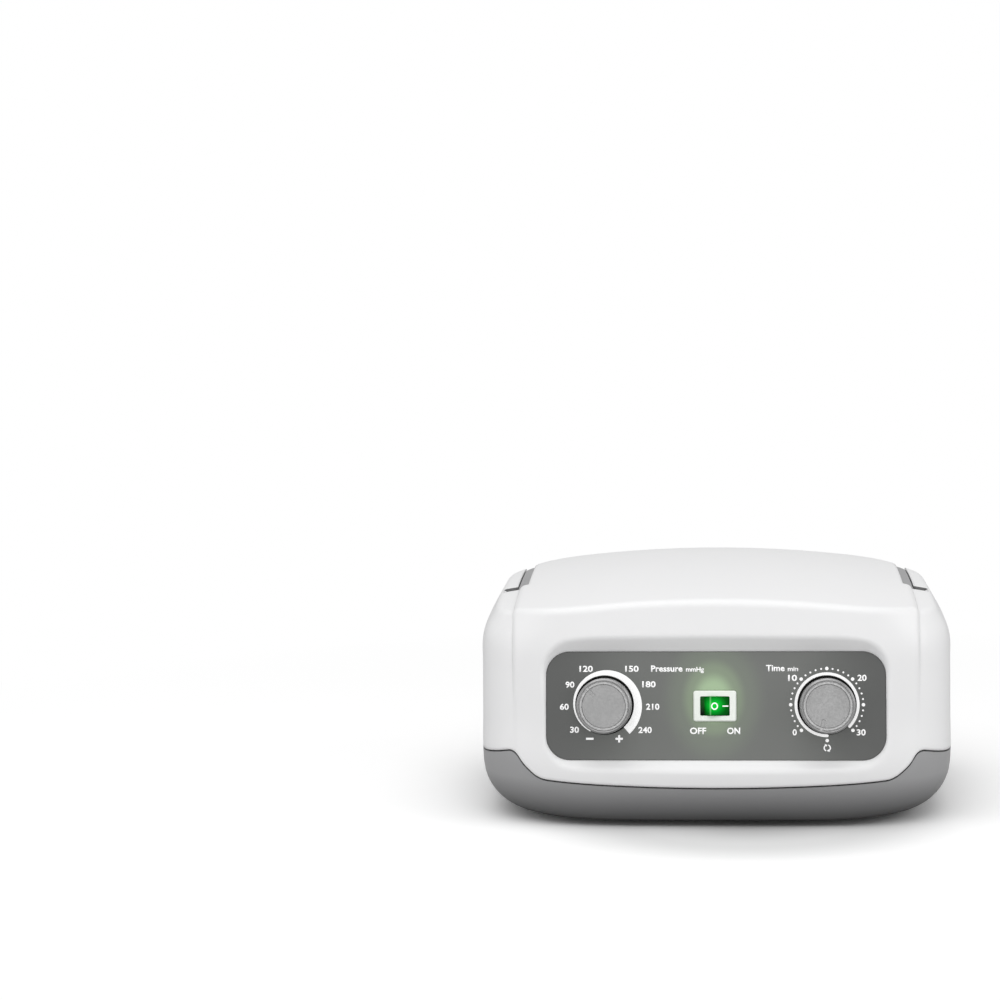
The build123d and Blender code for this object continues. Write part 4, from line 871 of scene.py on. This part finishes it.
class PUMP_OT_stage(bpy.types.Operator):
    """Adds the pale floor, the soft lights and the camera"""
    bl_idname = "pump.stage"
    bl_label = "Studio"

    def execute(self, context):
        scene = context.scene
        stage = scene.pump_stage
        scene.view_settings.view_transform = "Standard"
        self.floor()
        self.surroundings(scene, stage)
        for name, place, target, size, setting, share in LIGHTS:
            soft_light(name, place, target, size, getattr(stage, setting) * share)
        self.camera(scene, stage)
        return {"FINISHED"}

    def floor(self):
        """White floor that keeps the shadow, with a painted shade before the pump."""
        bm = bmesh.new()
        bmesh.ops.create_grid(bm, x_segments=8, y_segments=8, size=FLOOR_HALF)
        mesh = bpy.data.meshes.new("floor")
        bm.to_mesh(mesh)
        bm.free()
        made = as_object("floor", mesh)
        recipe = Recipe("floor_white")
        recipe.tree.nodes.remove(recipe.shader)
        chalk = recipe.node("ShaderNodeBsdfDiffuse")
        path = recipe.node("ShaderNodeLightPath")
        mix = recipe.node("ShaderNodeMix", data_type="RGBA")
        mix.inputs["A"].default_value = (FLOOR_BOUNCE, FLOOR_BOUNCE, FLOOR_BOUNCE, 1)
        mix.inputs["B"].default_value = (FLOOR_SEEN, FLOOR_SEEN, FLOOR_SEEN, 1)
        recipe.join(path.outputs["Is Camera Ray"], mix.inputs["Factor"])
        patches = recipe.span(recipe.noise(0.8, 2.0), 0.985, 1.0)
        level = recipe.times(mix.outputs["Result"], patches)
        shade = recipe.glow((0.015, -0.085, 0.0), (0.75, 1.0, 0.0), 0.085, (
            (0.0, (0.55, 0.55, 0.55)), (0.45, (0.72, 0.72, 0.72)), (1.0, (1.0, 1.0, 1.0))))
        recipe.join(recipe.times(level, shade), chalk.inputs["Color"])
        paper = recipe.node("ShaderNodeEmission")
        far = recipe.vector("LENGTH", recipe.place)
        fade = recipe.node("ShaderNodeMath", operation="MULTIPLY")
        recipe.join(recipe.span(far, 0, 1, FADE_START, FADE_END), fade.inputs[0])
        recipe.join(path.outputs["Is Camera Ray"], fade.inputs[1])
        blend = recipe.node("ShaderNodeMixShader")
        recipe.join(fade.outputs[0], blend.inputs["Fac"])
        recipe.join(chalk.outputs[0], blend.inputs[1])
        recipe.join(paper.outputs[0], blend.inputs[2])
        recipe.join(blend.outputs[0], recipe.output.inputs["Surface"])
        mesh.materials.append(recipe.material)

    def surroundings(self, scene, stage):
        """White surroundings that light the pump by less than the camera sees."""
        world = bpy.data.worlds.new("surroundings")
        scene.world = world
        world.use_nodes = True
        tree = world.node_tree
        tree.nodes.clear()
        out = tree.nodes.new("ShaderNodeOutputWorld")
        seen = tree.nodes.new("ShaderNodeBackground")
        seen.inputs["Strength"].default_value = 1.0
        light = tree.nodes.new("ShaderNodeBackground")
        light.inputs["Strength"].default_value = stage.world
        mix = tree.nodes.new("ShaderNodeMixShader")
        path = tree.nodes.new("ShaderNodeLightPath")
        tree.links.new(path.outputs["Is Camera Ray"], mix.inputs["Fac"])
        tree.links.new(light.outputs[0], mix.inputs[1])
        tree.links.new(seen.outputs[0], mix.inputs[2])
        tree.links.new(mix.outputs[0], out.inputs["Surface"])
        for background in (seen, light):
            background.inputs["Color"].default_value = (1, 1, 1, 1)

    def camera(self, scene, stage):
        """Camera that looks at the panel as the photograph does."""
        target = on_panel(0.0, 0.0)
        back = Vector((0, -math.cos(stage.height), math.sin(stage.height)))
        data = bpy.data.cameras.new("camera")
        data.sensor_width = 36.0
        data.lens = CAMERA_LENS
        made = as_object("camera", data)
        turn = (Matrix.Rotation(CAMERA_PAN, 4, "Z")
                @ Matrix.Rotation(math.pi / 2 - CAMERA_TILT, 4, "X")
                @ Matrix.Rotation(CAMERA_ROLL, 4, "Z"))
        made.matrix_world = Matrix.Translation(target + back * stage.distance) @ turn
        scene.camera = made


class PUMP_PT_panel(bpy.types.Panel):
    """Sidebar with the pump's settings and steps"""
    bl_label = "Compression pump"
    bl_idname = "PUMP_PT_panel"
    bl_space_type = "VIEW_3D"
    bl_region_type = "UI"
    bl_category = "Pump"

    def draw(self, context):
        layout = self.layout
        for group in (context.scene.pump_colours, context.scene.pump_sizes,
                      context.scene.pump_stage):
            box = layout.box()
            for key in group.bl_rna.properties.keys():
                if key not in ("rna_type", "name"):
                    box.prop(group, key)
        for step in STEPS:
            layout.operator(step)


STEPS = ("pump.finishes", "pump.pressure_scale", "pump.time_scale", "pump.captions",
         "pump.dust_rings", "pump.rocker_marks", "pump.stage")
CLASSES = (PumpColours, PumpSizes, PumpStage, PUMP_OT_finishes, PUMP_OT_pressure_scale,
           PUMP_OT_time_scale, PUMP_OT_captions, PUMP_OT_painted_shade_rings, PUMP_OT_rocker_marks,
           PUMP_OT_stage, PUMP_PT_panel)


def register():
    for cls in CLASSES:
        bpy.utils.register_class(cls)
    bpy.types.Scene.pump_colours = bpy.props.PointerProperty(type=PumpColours)
    bpy.types.Scene.pump_sizes = bpy.props.PointerProperty(type=PumpSizes)
    bpy.types.Scene.pump_stage = bpy.props.PointerProperty(type=PumpStage)


def unregister():
    del bpy.types.Scene.pump_stage
    del bpy.types.Scene.pump_sizes
    del bpy.types.Scene.pump_colours
    for cls in reversed(CLASSES):
        bpy.utils.unregister_class(cls)


def main():
    register()
    for step in STEPS:
        group, name = step.split(".")
        getattr(getattr(bpy.ops, group), name)()


if __name__ == "__main__":
    main()
